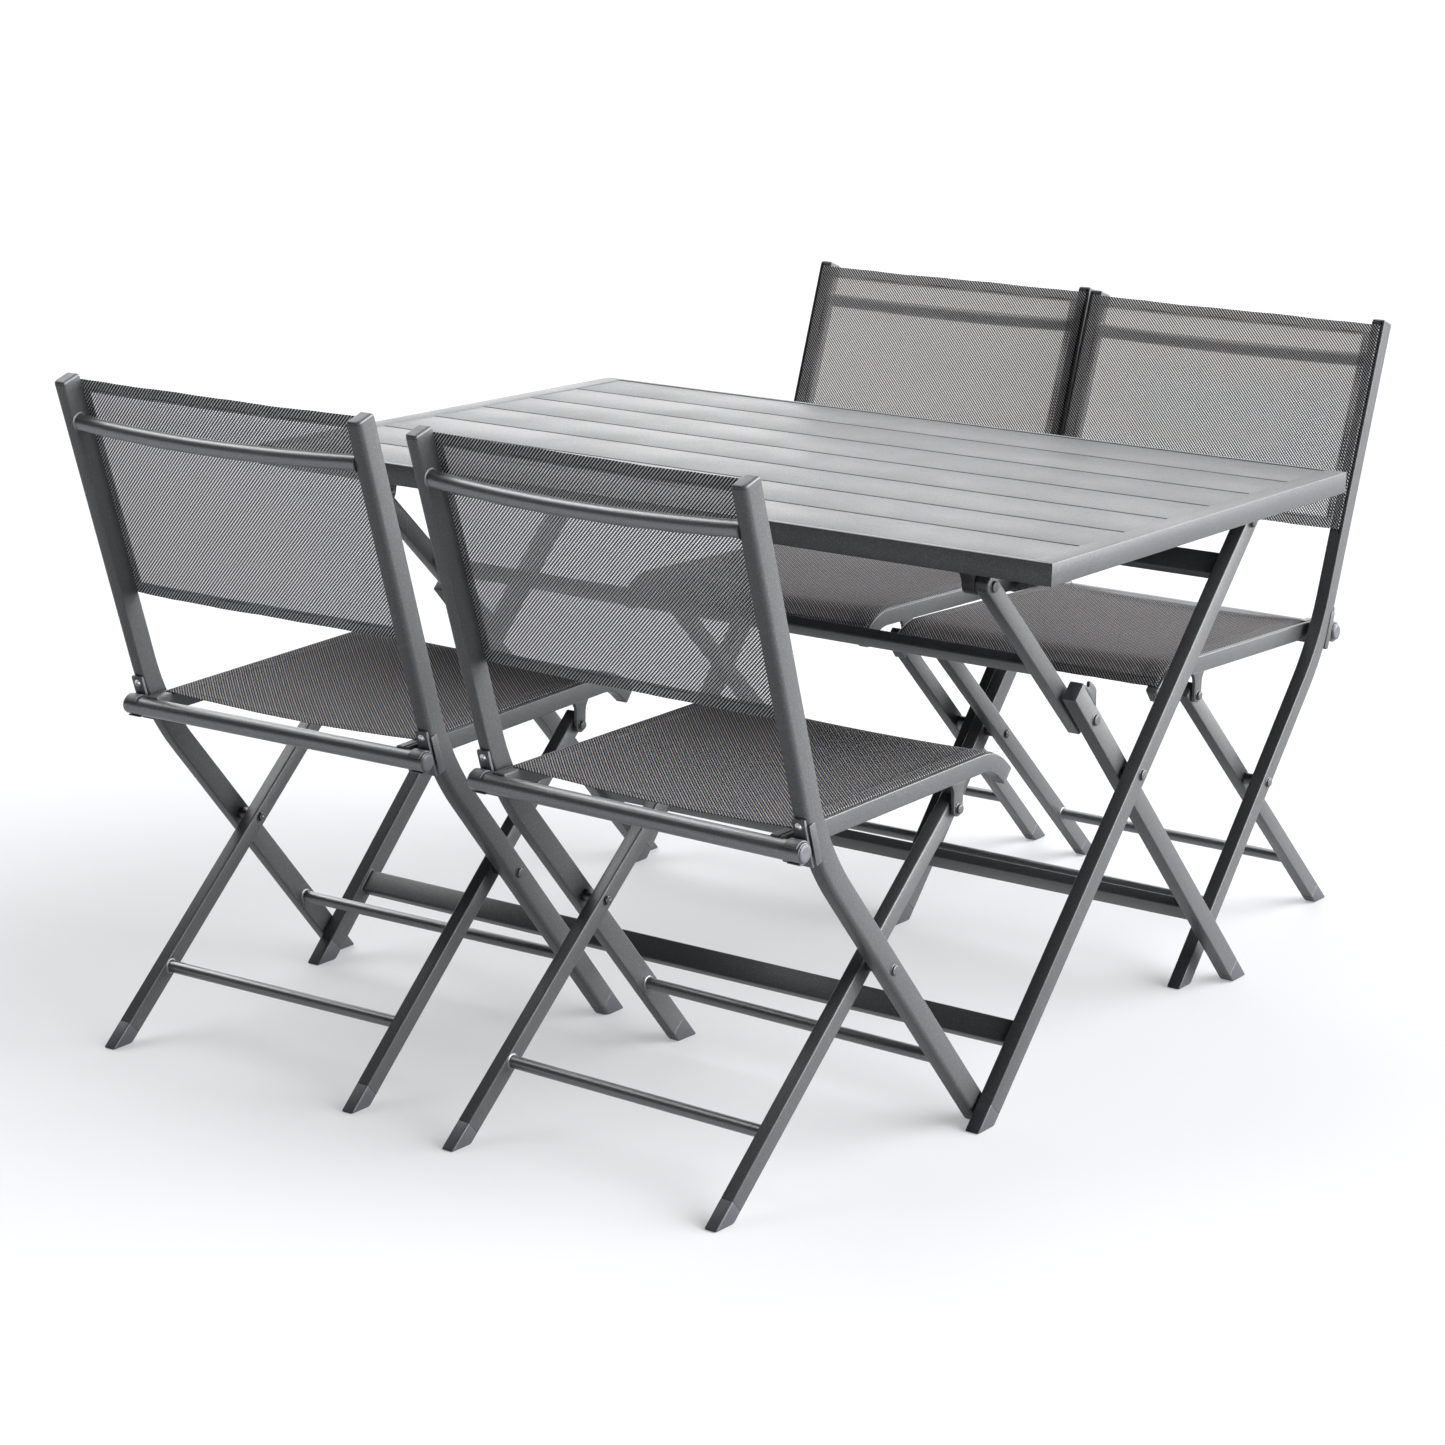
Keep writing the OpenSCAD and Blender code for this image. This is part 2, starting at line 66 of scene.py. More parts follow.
# chair
BACK_LEAN, FOOT_LEAN, BEND_R = 18.5, 41.5, 350.0  # a post's upper and lower part, and its bend
CHAIR_Z = 871.0
POST_OUT, POST_W, POST_D = 241.0, 20.0, 30.0
POST_RADII = (1.8, 2.2, 2.6, 7.0)
CAP = 4.0  # height of the cap on a post
BAR, BAR_R = (-12.0, 430.0), 12.0  # cross bar that the seat turns on
BAR_CLEAR = 4.5  # between the bar and the posts
PIVOT = (178.0, 246.0)  # bolt through post and rear leg
HANG = (350.0, 400.0)  # bolt through rear leg and seat
REAR_OUT, REAR_W, REAR_D = 205.0, 18.0, 24.0
SEAT_OUT, SEAT_W, SEAT_D = 212.0, 18.0, 24.0
TUBE_R = 2.2  # corners of rear legs and seat rails
ROD_R = 8.0
SEAT_SLOPE, SEAT_TOP, SEAT_REAR = 1.6, 446.0, 28.0
NOSE_Y, NOSE_R, NOSE_DIP, NOSE_TAIL = 402.0, 70.0, 39.0, 12.0  # seat rail's bend and straight end
SLING_U0, SLING_U1 = 141.0, 441.0  # back sling, along the post from the bar
SLOT_IN, SLOT_OUT = 6.4, 3.4  # sling slot, from the tube's outer face
SLOT_DEPTH = 2.8


# -------- 2-D helpers
def add(p, q, k=1.0):
    return (p[0] + q[0] * k, p[1] + q[1] * k)


def unit(p, q):
    """Direction from p to q."""
    d = (q[0] - p[0], q[1] - p[1])
    n = math.hypot(*d)
    return (d[0] / n, d[1] / n)


def dist(p, q):
    return math.hypot(q[0] - p[0], q[1] - p[1])


def cross(p, q):
    return p[0] * q[1] - p[1] * q[0]


def polar(deg):
    return (math.cos(math.radians(deg)), math.sin(math.radians(deg)))


def left(v):
    """v turned by 90 degrees to its left."""
    return (-v[1], v[0])


def normal(v):
    """v turned by 90 degrees to its right."""
    return (v[1], -v[0])


def arc(c, r, a0, a1, n):
    """Points on a circle from angle a0 to a1."""
    return [add(c, polar(a0 + (a1 - a0) * i / n), r) for i in range(n + 1)]


def tan(deg):
    return math.tan(math.radians(deg))


# -------- table points
P_TOP_FAR = (268.0, 662.0)
P_TOP_NEAR = (-312.0, 662.0)
P_CROSS = (-8.0, 374.7)
P_FOOT_IN = (362.0, 0.0)
OUT_DIR = unit(P_CROSS, P_TOP_FAR)
IN_DIR = unit(P_FOOT_IN, P_CROSS)
# FAR-CROSS and ELBOW-NEAR together are as long as CROSS-ELBOW and FAR-NEAR
# together, so that the linkage folds flat.
TO_NEAR = (P_TOP_NEAR[0] - P_CROSS[0], P_TOP_NEAR[1] - P_CROSS[1])
SPARE = dist(P_TOP_FAR, P_TOP_NEAR) - dist(P_TOP_FAR, P_CROSS)
ALONG = TO_NEAR[0] * IN_DIR[0] + TO_NEAR[1] * IN_DIR[1]
P_ELBOW = add(P_CROSS, IN_DIR, (TO_NEAR[0] ** 2 + TO_NEAR[1] ** 2 - SPARE**2) / (2 * (ALONG + SPARE)))
ARM_DIR = unit(P_TOP_NEAR, P_ELBOW)
P_FOOT_OUT = add(P_CROSS, OUT_DIR, -P_CROSS[1] / OUT_DIR[1])
OUT_LEN = dist(P_FOOT_OUT, P_TOP_FAR)
IN_LEN = dist(P_FOOT_IN, P_ELBOW)
ARM_LEN = dist(P_TOP_NEAR, P_ELBOW)
IN_X = LEG_OUT - LEG_W - SIDE_CLEAR  # outer face of the inner legs
ARM_X = IN_X - LEG_W - SIDE_CLEAR  # and of the brace's arms
ARM_IN = ARM_X - ARM_W
OUT_TUBE = (LEG_OUT - LEG_W / 2, LEG_W, LEG_D, LEG_R)
IN_TUBE = (IN_X - LEG_W / 2, LEG_W, LEG_D, LEG_R)

# -------- chair points
BACK_FW = polar(BACK_LEAN)
BACK_UP = left(BACK_FW)
FOOT_DN = normal(polar(FOOT_LEAN))
FOOT_UP = (-FOOT_DN[0], -FOOT_DN[1])
BAR_BACK = POST_D / 2 + BAR_CLEAR + BAR_R
P_POST = add(BAR, BACK_FW, BAR_BACK)  # on the post's centre line, beside the bar
P_FOOT = (PIVOT[0] + PIVOT[1] * tan(FOOT_LEAN), 0.0)
TO_FOOT = (P_FOOT[0] - P_POST[0], -P_POST[1])
P_BEND = add(P_POST, BACK_UP, cross(TO_FOOT, FOOT_DN) / cross(BACK_UP, FOOT_DN))
TURN = FOOT_LEAN - BACK_LEAN
BEND_T = BEND_R * tan(TURN / 2)
BEND_O = add(add(P_BEND, BACK_UP, BEND_T), BACK_FW, BEND_R)
POST_TOP = (CHAIR_Z - CAP * BACK_UP[1] - POST_D / 2 * BACK_FW[1] - P_POST[1]) / BACK_UP[1]
POST_X = POST_OUT - POST_W / 2
SIDE_X = POST_OUT - POST_W  # inner face of the posts
REAR_IN = REAR_OUT - REAR_W  # inner face of the rear legs
REAR_TUBE = (REAR_OUT - REAR_W / 2, REAR_W, REAR_D, TUBE_R)
REAR_DIR = unit(PIVOT, HANG)
REAR_FOOT = add(PIVOT, REAR_DIR, -PIVOT[1] / REAR_DIR[1])
SEAT_X = SEAT_OUT - SEAT_W / 2
RAIL_DIR = polar(SEAT_SLOPE)
RAIL_UP = left(RAIL_DIR)
RAIL_0 = (BAR[0], SEAT_TOP - SEAT_D / 2 + (BAR[0] - SEAT_REAR) * tan(SEAT_SLOPE))
NOSE_C0 = add(RAIL_0, RAIL_DIR, (NOSE_Y - BAR[0]) / RAIL_DIR[0])
NOSE_O = add(NOSE_C0, RAIL_UP, -NOSE_R)


# -------- materials
def new_material(name, coord="Object"):
    """Bare Principled material, with its nodes and texture coordinates."""
    mat = bpy.data.materials.new(name)
    mat.use_nodes = True
    nt = mat.node_tree
    nt.nodes.clear()
    out = nt.nodes.new("ShaderNodeOutputMaterial")
    bsdf = nt.nodes.new("ShaderNodeBsdfPrincipled")
    nt.links.new(bsdf.outputs[0], out.inputs[0])
    return mat, nt, bsdf, nt.nodes.new("ShaderNodeTexCoord").outputs[coord]


def math_node(nt, op, a, b=None):
    """Math node; a and b are numbers or sockets."""
    n = nt.nodes.new("ShaderNodeMath")
    n.operation = op
    for i, v in enumerate((a, b)):
        if v is None:
            continue
        if isinstance(v, (int, float)):
            n.inputs[i].default_value = v
        else:
            nt.links.new(v, n.inputs[i])
    return n.outputs[0]


def ramp(nt, fac, lo, hi, a, b):
    """Smooth map of fac from lo..hi to a..b."""
    n = nt.nodes.new("ShaderNodeMapRange")
    n.interpolation_type = "SMOOTHSTEP"
    nt.links.new(fac, n.inputs["Value"])
    for key, v in (("From Min", lo), ("From Max", hi), ("To Min", a), ("To Max", b)):
        n.inputs[key].default_value = v
    return n.outputs["Result"]


def mix_rgb(nt, fac, a, b, mode="MIX"):
    """Colour mix; fac, a and b are numbers, colours or sockets."""
    n = nt.nodes.new("ShaderNodeMix")
    n.data_type = "RGBA"
    n.blend_type = mode
    for sock, v in ((n.inputs[0], fac), (n.inputs[6], a), (n.inputs[7], b)):
        if isinstance(v, (int, float)):
            sock.default_value = v
        elif isinstance(v, tuple):
            sock.default_value = (*v, 1.0)
        else:
            nt.links.new(v, sock)
    return n.outputs[2]


def noise(nt, coord, scale, detail=2.0):
    n = nt.nodes.new("ShaderNodeTexNoise")
    n.inputs["Scale"].default_value = scale
    n.inputs["Detail"].default_value = detail
    nt.links.new(coord, n.inputs["Vector"])
    return n.outputs["Fac"]


def bump(nt, height, strength, distance):
    n = nt.nodes.new("ShaderNodeBump")
    n.inputs["Strength"].default_value = strength
    n.inputs["Distance"].default_value = distance
    nt.links.new(height, n.inputs["Height"])
    return n.outputs[0]


def tint(colour, k):
    return tuple(k * v for v in colour)


def powder_coat(name, base, metallic, rough, sparkle=0.5, gloss=0.5):
    """Metallic powder coat: fine flakes, faint cloudiness and orange peel.
    sparkle is how far the flakes stand out."""
    mat, nt, bsdf, coord = new_material(name)
    flakes = nt.nodes.new("ShaderNodeTexVoronoi")
    flakes.inputs["Scale"].default_value = 1100.0
    nt.links.new(coord, flakes.inputs["Vector"])
    flake = nt.nodes.new("ShaderNodeSeparateColor")
    nt.links.new(flakes.outputs["Color"], flake.inputs[0])
    grain = noise(nt, coord, 900.0, 3.0)
    cloud = noise(nt, coord, 7.0, 3.0)
    dark = tint(base, 0.82)
    col = mix_rgb(nt, ramp(nt, grain, 0.3, 0.7, 0.0, 1.0), dark, tint(base, 1.18))
    col = mix_rgb(nt, ramp(nt, flake.outputs[0], 0.86, 0.98, 0.0, sparkle), col, tint(base, 2.6))
    col = mix_rgb(nt, ramp(nt, cloud, 0.35, 0.65, 0.0, 0.12), col, dark)
    nt.links.new(col, bsdf.inputs["Base Color"])
    r = math_node(nt, "ADD", ramp(nt, cloud, 0.3, 0.7, rough - 0.03, rough + 0.03),
                  ramp(nt, flake.outputs[1], 0.0, 1.0, -0.05, 0.05))
    nt.links.new(r, bsdf.inputs["Roughness"])
    bsdf.inputs["Metallic"].default_value = metallic
    bsdf.inputs["Specular IOR Level"].default_value = gloss
    nt.links.new(bump(nt, noise(nt, coord, 520.0), 0.25, 0.00025), bsdf.inputs["Normal"])
    return mat


def moulded(name, base, rough):
    """Moulded plastic with a fine spark-eroded grain."""
    mat, nt, bsdf, coord = new_material(name)
    grain = noise(nt, coord, 1400.0, 3.0)
    col = mix_rgb(nt, ramp(nt, grain, 0.3, 0.7, 0.0, 1.0), tint(base, 0.8), tint(base, 1.25))
    nt.links.new(col, bsdf.inputs["Base Color"])
    patchy = noise(nt, coord, 60.0)
    nt.links.new(ramp(nt, patchy, 0.3, 0.7, rough - 0.06, rough + 0.06), bsdf.inputs["Roughness"])
    nt.links.new(bump(nt, grain, 0.3, 0.0002), bsdf.inputs["Normal"])
    return mat


def plated(name, base, rough):
    """Plated steel of screws and nuts, unevenly dull."""
    mat, nt, bsdf, coord = new_material(name)
    grain = noise(nt, coord, 2200.0, 3.0)
    nt.links.new(mix_rgb(nt, grain, tint(base, 0.85), tint(base, 1.1)), bsdf.inputs["Base Color"])
    nt.links.new(ramp(nt, grain, 0.3, 0.7, rough - 0.05, rough + 0.08), bsdf.inputs["Roughness"])
    bsdf.inputs["Metallic"].default_value = 1.0
    return mat


def off_middle(nt, value):
    """Distance from the middle of a whole step, 0 to 0.5."""
    return math_node(nt, "ABSOLUTE", math_node(nt, "SUBTRACT", math_node(nt, "FRACT", value), 0.5))


def mix_value(nt, fac, a, b):
    n = nt.nodes.new("ShaderNodeMix")
    n.data_type = "FLOAT"
    nt.links.new(fac, n.inputs[0])
    nt.links.new(a, n.inputs[2])
    nt.links.new(b, n.inputs[3])
    return n.outputs[0]


def weave(name, warp_a, warp_b, weft, *, closed, gap, lean, lit, shine, rough):
    """Twill of light and dark coated yarn, with light diagonal ribs lit wide.
    UV units are yarns: every unit square is one crossing, and the openings
    lie in the light ribs. gap is an opening's width in yarns. lean is the
    side that the ribs lean to. closed fills the openings with painted shade,
    half the weft's colour. The yarns' sides are darkened with painted shade."""
    mat, nt, bsdf, uv = new_material(name, "UV")
    sep = nt.nodes.new("ShaderNodeSeparateXYZ")
    nt.links.new(uv, sep.inputs[0])
    u, v = sep.outputs[0], sep.outputs[1]
    du, dv = off_middle(nt, u), off_middle(nt, v)
    half = 0.5 - gap / 2
    soft = 0.03
    in_warp = ramp(nt, du, half - soft, half + soft, 1.0, 0.0)
    in_weft = ramp(nt, dv, half - soft, half + soft, 1.0, 0.0)
    rib = math_node(nt, "MULTIPLY", math_node(nt, "ADD", u, math_node(nt, "MULTIPLY", v, lean)), 0.5)
    top_warp = ramp(nt, off_middle(nt, rib), lit / 2 - 0.05, lit / 2 + 0.05, 1.0, 0.0)
    # every second rib takes the other warp colour
    every = math_node(nt, "FLOORED_MODULO", math_node(nt, "FLOOR", rib), 2.0)
    warp_col = mix_rgb(nt, ramp(nt, every, 0.4, 0.6, 0.0, 1.0), warp_a, warp_b)
    col = mix_rgb(nt, top_warp, weft, warp_col)
    # painted shade: the rounded yarns are drawn darker towards their sides; the same profile also shapes the bump
    warp_side_shade_and_height = ramp(nt, du, 0.1, half, 1.0, 0.55)
    weft_side_shade_and_height = ramp(nt, dv, 0.1, half, 1.0, 0.55)
    shade = mix_rgb(nt, top_warp, weft_side_shade_and_height, warp_side_shade_and_height)
    col = mix_rgb(nt, 1.0, col, shade, "MULTIPLY")
    fuzz = noise(nt, uv, 0.9, 3.0)
    col = mix_rgb(nt, ramp(nt, fuzz, 0.35, 0.65, 0.0, 0.15), col, weft)
    cover = math_node(nt, "MAXIMUM", math_node(nt, "MAXIMUM", in_warp, in_weft),
                      math_node(nt, "SUBTRACT", 1.0, top_warp))
    # painted shade: a closed weave fills its openings with near-black, half the weft's colour, instead of letting
    # light through
    if closed:
        col = mix_rgb(nt, cover, tint(weft, 0.5), col)
    else:
        nt.links.new(cover, bsdf.inputs["Alpha"])
    nt.links.new(col, bsdf.inputs["Base Color"])
    raised = math_node(nt, "ADD", top_warp, math_node(nt, "MULTIPLY", in_weft, 0.5))
    high = math_node(nt, "MULTIPLY", raised, mix_value(nt, top_warp, weft_side_shade_and_height, warp_side_shade_and_height))
    nt.links.new(bump(nt, high, 0.6, 0.0006), bsdf.inputs["Normal"])
    bsdf.inputs["Roughness"].default_value = rough
    bsdf.inputs["Specular IOR Level"].default_value = shine
    return mat


COAT = powder_coat("graphite_powder_coat", (0.045, 0.0462, 0.0483), 0.2, 0.38, 0.5, 0.4)
COAT_TOP = powder_coat("graphite_powder_coat_top", (0.060, 0.0615, 0.064), 0.5, 0.42)
COAT_GLOSS = powder_coat("graphite_powder_coat_bar", (0.15, 0.153, 0.158), 0.75, 0.37, 0.12)
PLASTIC = moulded("dark_moulded_plastic", (0.045, 0.048, 0.055), 0.5)
PLUG = moulded("plug_plastic", (0.027, 0.029, 0.035), 0.42)
BLACK = moulded("black_plastic", (0.018, 0.018, 0.02), 0.42)
BOLT = plated("dark_bolt", (0.10, 0.10, 0.105), 0.38)
SCREW = plated("bright_screw", (0.55, 0.55, 0.56), 0.3)
YARN = 2.3  # spacing of the slings' yarns
WEAVE_BACK = weave("sling_weave_back", (0.72, 0.725, 0.73), (0.66, 0.665, 0.675), (0.009, 0.0095, 0.011),
                   closed=False, gap=0.70, lean=-1.0, lit=0.57, shine=0.12, rough=0.5)
# the back's hems: the same fabric as the back, drawn darker and less open; the darker yarn is painted shade of the
# folded double layer and, at the sides, of the post
WEAVE_HEM_PAINTED_SHADE = weave("sling_weave_hem_painted_shade", (0.56, 0.565, 0.57), (0.50, 0.505, 0.515), (0.008, 0.0085, 0.010),
                  closed=False, gap=0.62, lean=-1.0, lit=0.46, shine=0.12, rough=0.5)
WEAVE_SEAT_HEM = weave("sling_weave_seat_hem", (0.30, 0.265, 0.225), (0.20, 0.225, 0.265), (0.008, 0.009, 0.011),
                       closed=True, gap=0.5, lean=1.0, lit=0.46, shine=0.06, rough=0.8)
WEAVE_SEAT = weave("sling_weave_seat", (0.30, 0.245, 0.19), (0.155, 0.19, 0.245), (0.008, 0.009, 0.011),
                   closed=True, gap=0.5, lean=1.0, lit=0.5, shine=0.05, rough=0.8)
THREAD = moulded("stitching_thread", (0.03, 0.03, 0.032), 0.6)

# -------- mesh helpers
SMOOTH = 32  # edges sharper than this stay sharp
SMOOTH_SLING = 50
BEVELLED = 25  # edges sharper than this get a bevel
FILLET_STEPS = (0.0, 0.12, 0.3, 0.55, 0.8, 1.0)
SIDE_FILLET = 1.6
ROD_FILLET = 2.2
SHANK_R = 3.9  # of bolts


def on_top(a, b, t):
    """Outline in plan, extruded in Z."""
    return (a, b, t)


def on_side(a, b, t):
    """Outline in the YZ plane, extruded in X."""
    return (t, a, b)


class Piece:
    """Collects geometry in millimetres and makes one mesh of it."""

    def __init__(self):
        self.bm = bmesh.new()
        self.uv = self.bm.loops.layers.uv.new("UVMap")

    def rings(self, rings, mat=0):
        """Skins closed rings of points, each a list of (x, y, z), and caps both ends."""
        vs = [[self.bm.verts.new([c * MM for c in p]) for p in ring] for ring in rings]
        n = len(rings[0])
        made = []
        for a, b in zip(vs, vs[1:]):
            for i in range(n):
                j = (i + 1) % n
                made.append(self.bm.faces.new((a[i], a[j], b[j], b[i])))
        made += [self.bm.faces.new(vs[0][::-1]), self.bm.faces.new(vs[-1])]
        for f in made:
            f.material_index = mat

    def plate(self, outline, place, t0, t1, bevel, seg=2):
        """Outline of 2-D points, extruded from t0 to t1; place(a, b, t) gives 3-D."""
        lo = [self.bm.verts.new([c * MM for c in place(a, b, t0)]) for a, b in outline]
        hi = [self.bm.verts.new([c * MM for c in place(a, b, t1)]) for a, b in outline]
        n = len(outline)
        faces = [self.bm.faces.new(lo[::-1]), self.bm.faces.new(hi)]
        for i in range(n):
            j = (i + 1) % n
            faces.append(self.bm.faces.new((lo[i], lo[j], hi[j], hi[i])))
        bmesh.ops.recalc_face_normals(self.bm, faces=faces)
        edges = set()
        for f in faces:
            for e in f.edges:
                if len(e.link_faces) == 2 and e.calc_face_angle(0.0) > math.radians(BEVELLED):
                    edges.add(e)
        bmesh.ops.bevel(self.bm, geom=list(edges), offset=bevel * MM, segments=seg, profile=0.5,
                        affect="EDGES", clamp_overlap=True)

    def lathe(self, centre, axis, profile, seg=28, mat=0):
        """profile: (along, radius) or (along, radius, True) for a hexagon ring."""
        ax = Vector(axis).normalized()
        side = ax.orthogonal().normalized()
        other = ax.cross(side)
        rings = []
        for step in profile:
            along, r = step[0], step[1]
            ring = []
            for i in range(seg):
                a = 2 * math.pi * i / seg
                rr = r
                if len(step) > 2:
                    rr = r * math.cos(math.pi / 6) / math.cos((a % (math.pi / 3)) - math.pi / 6)
                p = Vector(centre) + ax * along + (side * math.cos(a) + other * math.sin(a)) * rr
                ring.append(tuple(p))
            rings.append(ring)
        self.rings(rings, mat=mat)

    def make(self, name, mats, smooth=SMOOTH):
        bmesh.ops.recalc_face_normals(self.bm, faces=self.bm.faces[:])
        me = bpy.data.meshes.new(name)
        self.bm.to_mesh(me)
        self.bm.free()
        for m in mats:
            me.materials.append(m)
        me.shade_smooth()
        me.set_sharp_from_angle(angle=math.radians(smooth))
        return me


def build_mesh(name, build, mats, smooth=SMOOTH):
    pc = Piece()
    build(pc)
    return pc.make(name, mats, smooth)


def put(name, me, body, matrix, node):
    """Object that rides a body and stands for a CAD node, or for none."""
    ob = bpy.data.objects.new(name, me)
    bpy.context.scene.collection.objects.link(ob)
    ob.matrix_world = matrix
    bpy.context.view_layer.update()
    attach(ob, body)
    if node:
        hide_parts(node)
    return ob


def section(w, d, radii, seg=4):
    """Rounded rectangle, w across by d deep; radii for corners ++ -+ -- +-."""
    if not isinstance(radii, tuple):
        radii = (radii,) * 4
    pts = []
    for k, (sx, sy) in enumerate(((1, 1), (-1, 1), (-1, -1), (1, -1))):
        r = radii[k]
        c = (sx * (w / 2 - r), sy * (d / 2 - r))
        pts += arc(c, r, 90 * k, 90 * k + 90, seg)
    return pts


def circle(r, n=24):
    return [add((0, 0), polar(360 * i / n), r) for i in range(n)]


def scaled(sec, w, d, inset):
    """The w by d section sec, smaller by inset all round."""
    return [(a * (w - 2 * inset) / w, b * (d - 2 * inset) / d) for a, b in sec]


def at_yz(x, p, v, a, n, b):
    """Point at a along v and b along n from p of the YZ plane."""
    return (x, p[0] + v[0] * a + n[0] * b, p[1] + v[1] * a + n[1] * b)


def ring_yz(sec, x, p, n):
    """Section placed at p of the YZ plane: a runs along X, b along n."""
    return [(x + a, p[0] + n[0] * b, p[1] + n[1] * b) for a, b in sec]


def straight(pc, tube, p, v, s0, s1, ends):
    """Tube along v from s0 to s1 past p; ends are the roundings of its ends.
    tube is (x of the middle, width, depth, corner radii)."""
    x, w, d, radii = tube
    sec = section(w, d, radii)
    n = normal(v)
    rings = []
    for q, e, way in ((add(p, v, s0), ends[0], 1), (add(p, v, s1), ends[1], -1)):
        end = [ring_yz(scaled(sec, w, d, e), x, q, n),
               ring_yz(scaled(sec, w, d, e * 0.3), x, add(q, v, way * e * 0.3), n),
               ring_yz(sec, x, add(q, v, way * e), n)]
        rings += end[::way]
    pc.rings(rings)


def foot(pc, tube, p, v):
    """Plastic foot on a sloping tube: from the cut across the tube at FOOT down
    to a flat sole on the floor. v points up the tube from p on the floor."""
    x, w, d, radii = tube
    sec = section(w, d, radii)
    n = normal(v)
    cut = add(p, v, FOOT)

    def drop(inset, z):
        ring = ring_yz(scaled(sec, w, d, inset), x, cut, n)
        return [(q[0], q[1] - v[0] / v[1] * (q[2] - z), z) for q in ring]

    pc.rings([ring_yz(scaled(sec, w, d, 0.5), x, cut, n), ring_yz(sec, x, add(p, v, FOOT - 0.7), n),
              drop(0.0, 2.2), drop(0.5, 0.8), drop(1.8, 0.0)])


def flare(t, size):
    """Height of a concave weld fillet at distance t from the joint."""
    if t >= size:
        return 0.0
    k = 1 - t / size
    return size * (1 - math.sqrt(max(0.0, 1 - k * k)))


def stations(half, fillet, middle=()):
    """X of the rings of a rail whose ends flare out at -half and half."""
    end = [half - s * fillet for s in FILLET_STEPS]
    return [-x for x in end] + list(middle) + end[::-1]


def rod(pc, half, p):
    """Round rod along X between two legs."""
    rings = []
    for x in stations(half, ROD_FILLET):
        g = flare(half - abs(x), ROD_FILLET)
        rings.append([(x, p[0] + a, p[1] + b) for a, b in circle(ROD_R + g)])
    pc.rings(rings)


def bolt_head(pc, x, p, s, r, t):
    """Painted cap of a bolt on a dark washer; s is +1 or -1 along X."""
    washer = [(0, r + 0.7), (0.5, r + 0.7), (0.8, r + 0.3), (0.8, r * 0.5)]
    cap = [(0.7, r - 0.5), (0.9, r - 0.1), (1.2, r), (t - 1.3, r), (t - 0.6, r - 0.25),
           (t - 0.15, r - 0.9), (t, r * 0.7), (t + 0.1, r * 0.3)]
    for mat, profile in enumerate((washer, cap)):
        pc.lathe((x, p[0], p[1]), (s, 0, 0), profile, 30, mat)


def nut(pc, x, p, s, r, t):
    """Lock nut on a washer with a rounded collar and the bolt's end."""
    profile = [(0, r + 1.2), (0.9, r + 1.2), (0.9, r * 1.02, True), (t * 0.72, r * 1.02, True), (t * 0.8, r * 0.82),
               (t, r * 0.72), (t, r * 0.5), (t * 0.8, r * 0.5), (t * 0.8, r * 0.42), (t * 1.05, r * 0.4),
               (t * 1.1, r * 0.3)]
    pc.lathe((x, p[0], p[1]), (s, 0, 0), profile, 30)


def mirrored(me, name):
    """Copy of a mesh mirrored in X."""
    out = me.copy()
    out.name = name
    bm = bmesh.new()
    bm.from_mesh(out)
    bmesh.ops.transform(bm, matrix=Matrix.Scale(-1, 4, (1, 0, 0)), verts=bm.verts[:])
    bmesh.ops.reverse_faces(bm, faces=bm.faces[:])
    bm.to_mesh(out)
    bm.free()
    out.shade_smooth()
    out.set_sharp_from_angle(angle=math.radians(SMOOTH))
    return out


TABLE_PLACE = Matrix.Translation((0, SET_Y * MM, 0))


def table_piece(pc, name, mats, body, node):
    put(name, pc.make(name, mats), body, TABLE_PLACE, node)


def pair(name, build, mats, body, node):
    """Right piece of the table from build(pc), and its mirror image on the left."""
    right = build_mesh(name + "_right", build, mats)
    put(name + "_right", right, body, TABLE_PLACE, node)
    put(name + "_left", mirrored(right, name + "_left"), body, TABLE_PLACE, node)


def cross_rail(name, half, p, v, depth, body, node, fillet=2.6):
    """Flat rail along X between two legs: depth along v, RAIL_T across it."""
    n = normal(v)
    rings = []
    for x in stations(half, fillet):
        t = half - abs(x)
        grow = flare(t, fillet)
        grow_n = flare(t * SIDE_FILLET / fillet, SIDE_FILLET)
        sec = section(depth + 2 * grow, RAIL_T + 2 * grow_n, RAIL_R)
        rings.append([at_yz(x, p, v, a, n, b) for a, b in sec])
    pc = Piece()
    pc.rings(rings)
    table_piece(pc, name, [COAT], body, node)


# -------- table top
HX, HY = TOP_L / 2, TOP_W / 2  # outer half sizes
IX, IY = HX - RIM_END, HY - RIM_SIDE  # inside the rim
RIM_Z = TOP_Z - RIM_H
LEDGE_W, LEDGE_H = 14, 13
SEAM = 0.25  # half of the gap at a mitred corner
for name, pts in (
    ("rim_near", [(-HX + SEAM, -HY), (HX - SEAM, -HY), (IX - SEAM, -IY), (-IX + SEAM, -IY)]),
    ("rim_far", [(HX - SEAM, HY), (-HX + SEAM, HY), (-IX + SEAM, IY), (IX - SEAM, IY)]),
    ("rim_right", [(HX, -HY + SEAM), (HX, HY - SEAM), (IX, IY), (IX, -IY)]),
    ("rim_left", [(-HX, HY - SEAM), (-HX, -HY + SEAM), (-IX, -IY), (-IX, IY)]),
):
    pc = Piece()
    pc.plate(pts, on_top, RIM_Z, TOP_Z, 1.0, 3)
    table_piece(pc, "table_" + name, [COAT_TOP], "table_top", "table_rim")
pc = Piece()
for s in (-1, 1):
    y0, y1 = sorted((s * IY, s * (IY - LEDGE_W)))
    pc.plate([(-IX, y0), (IX, y0), (IX, y1), (-IX, y1)], on_top, RIM_Z, RIM_Z + LEDGE_H, 0.5, 1)
table_piece(pc, "table_rim_ledges", [COAT], "table_top", "table_rim")

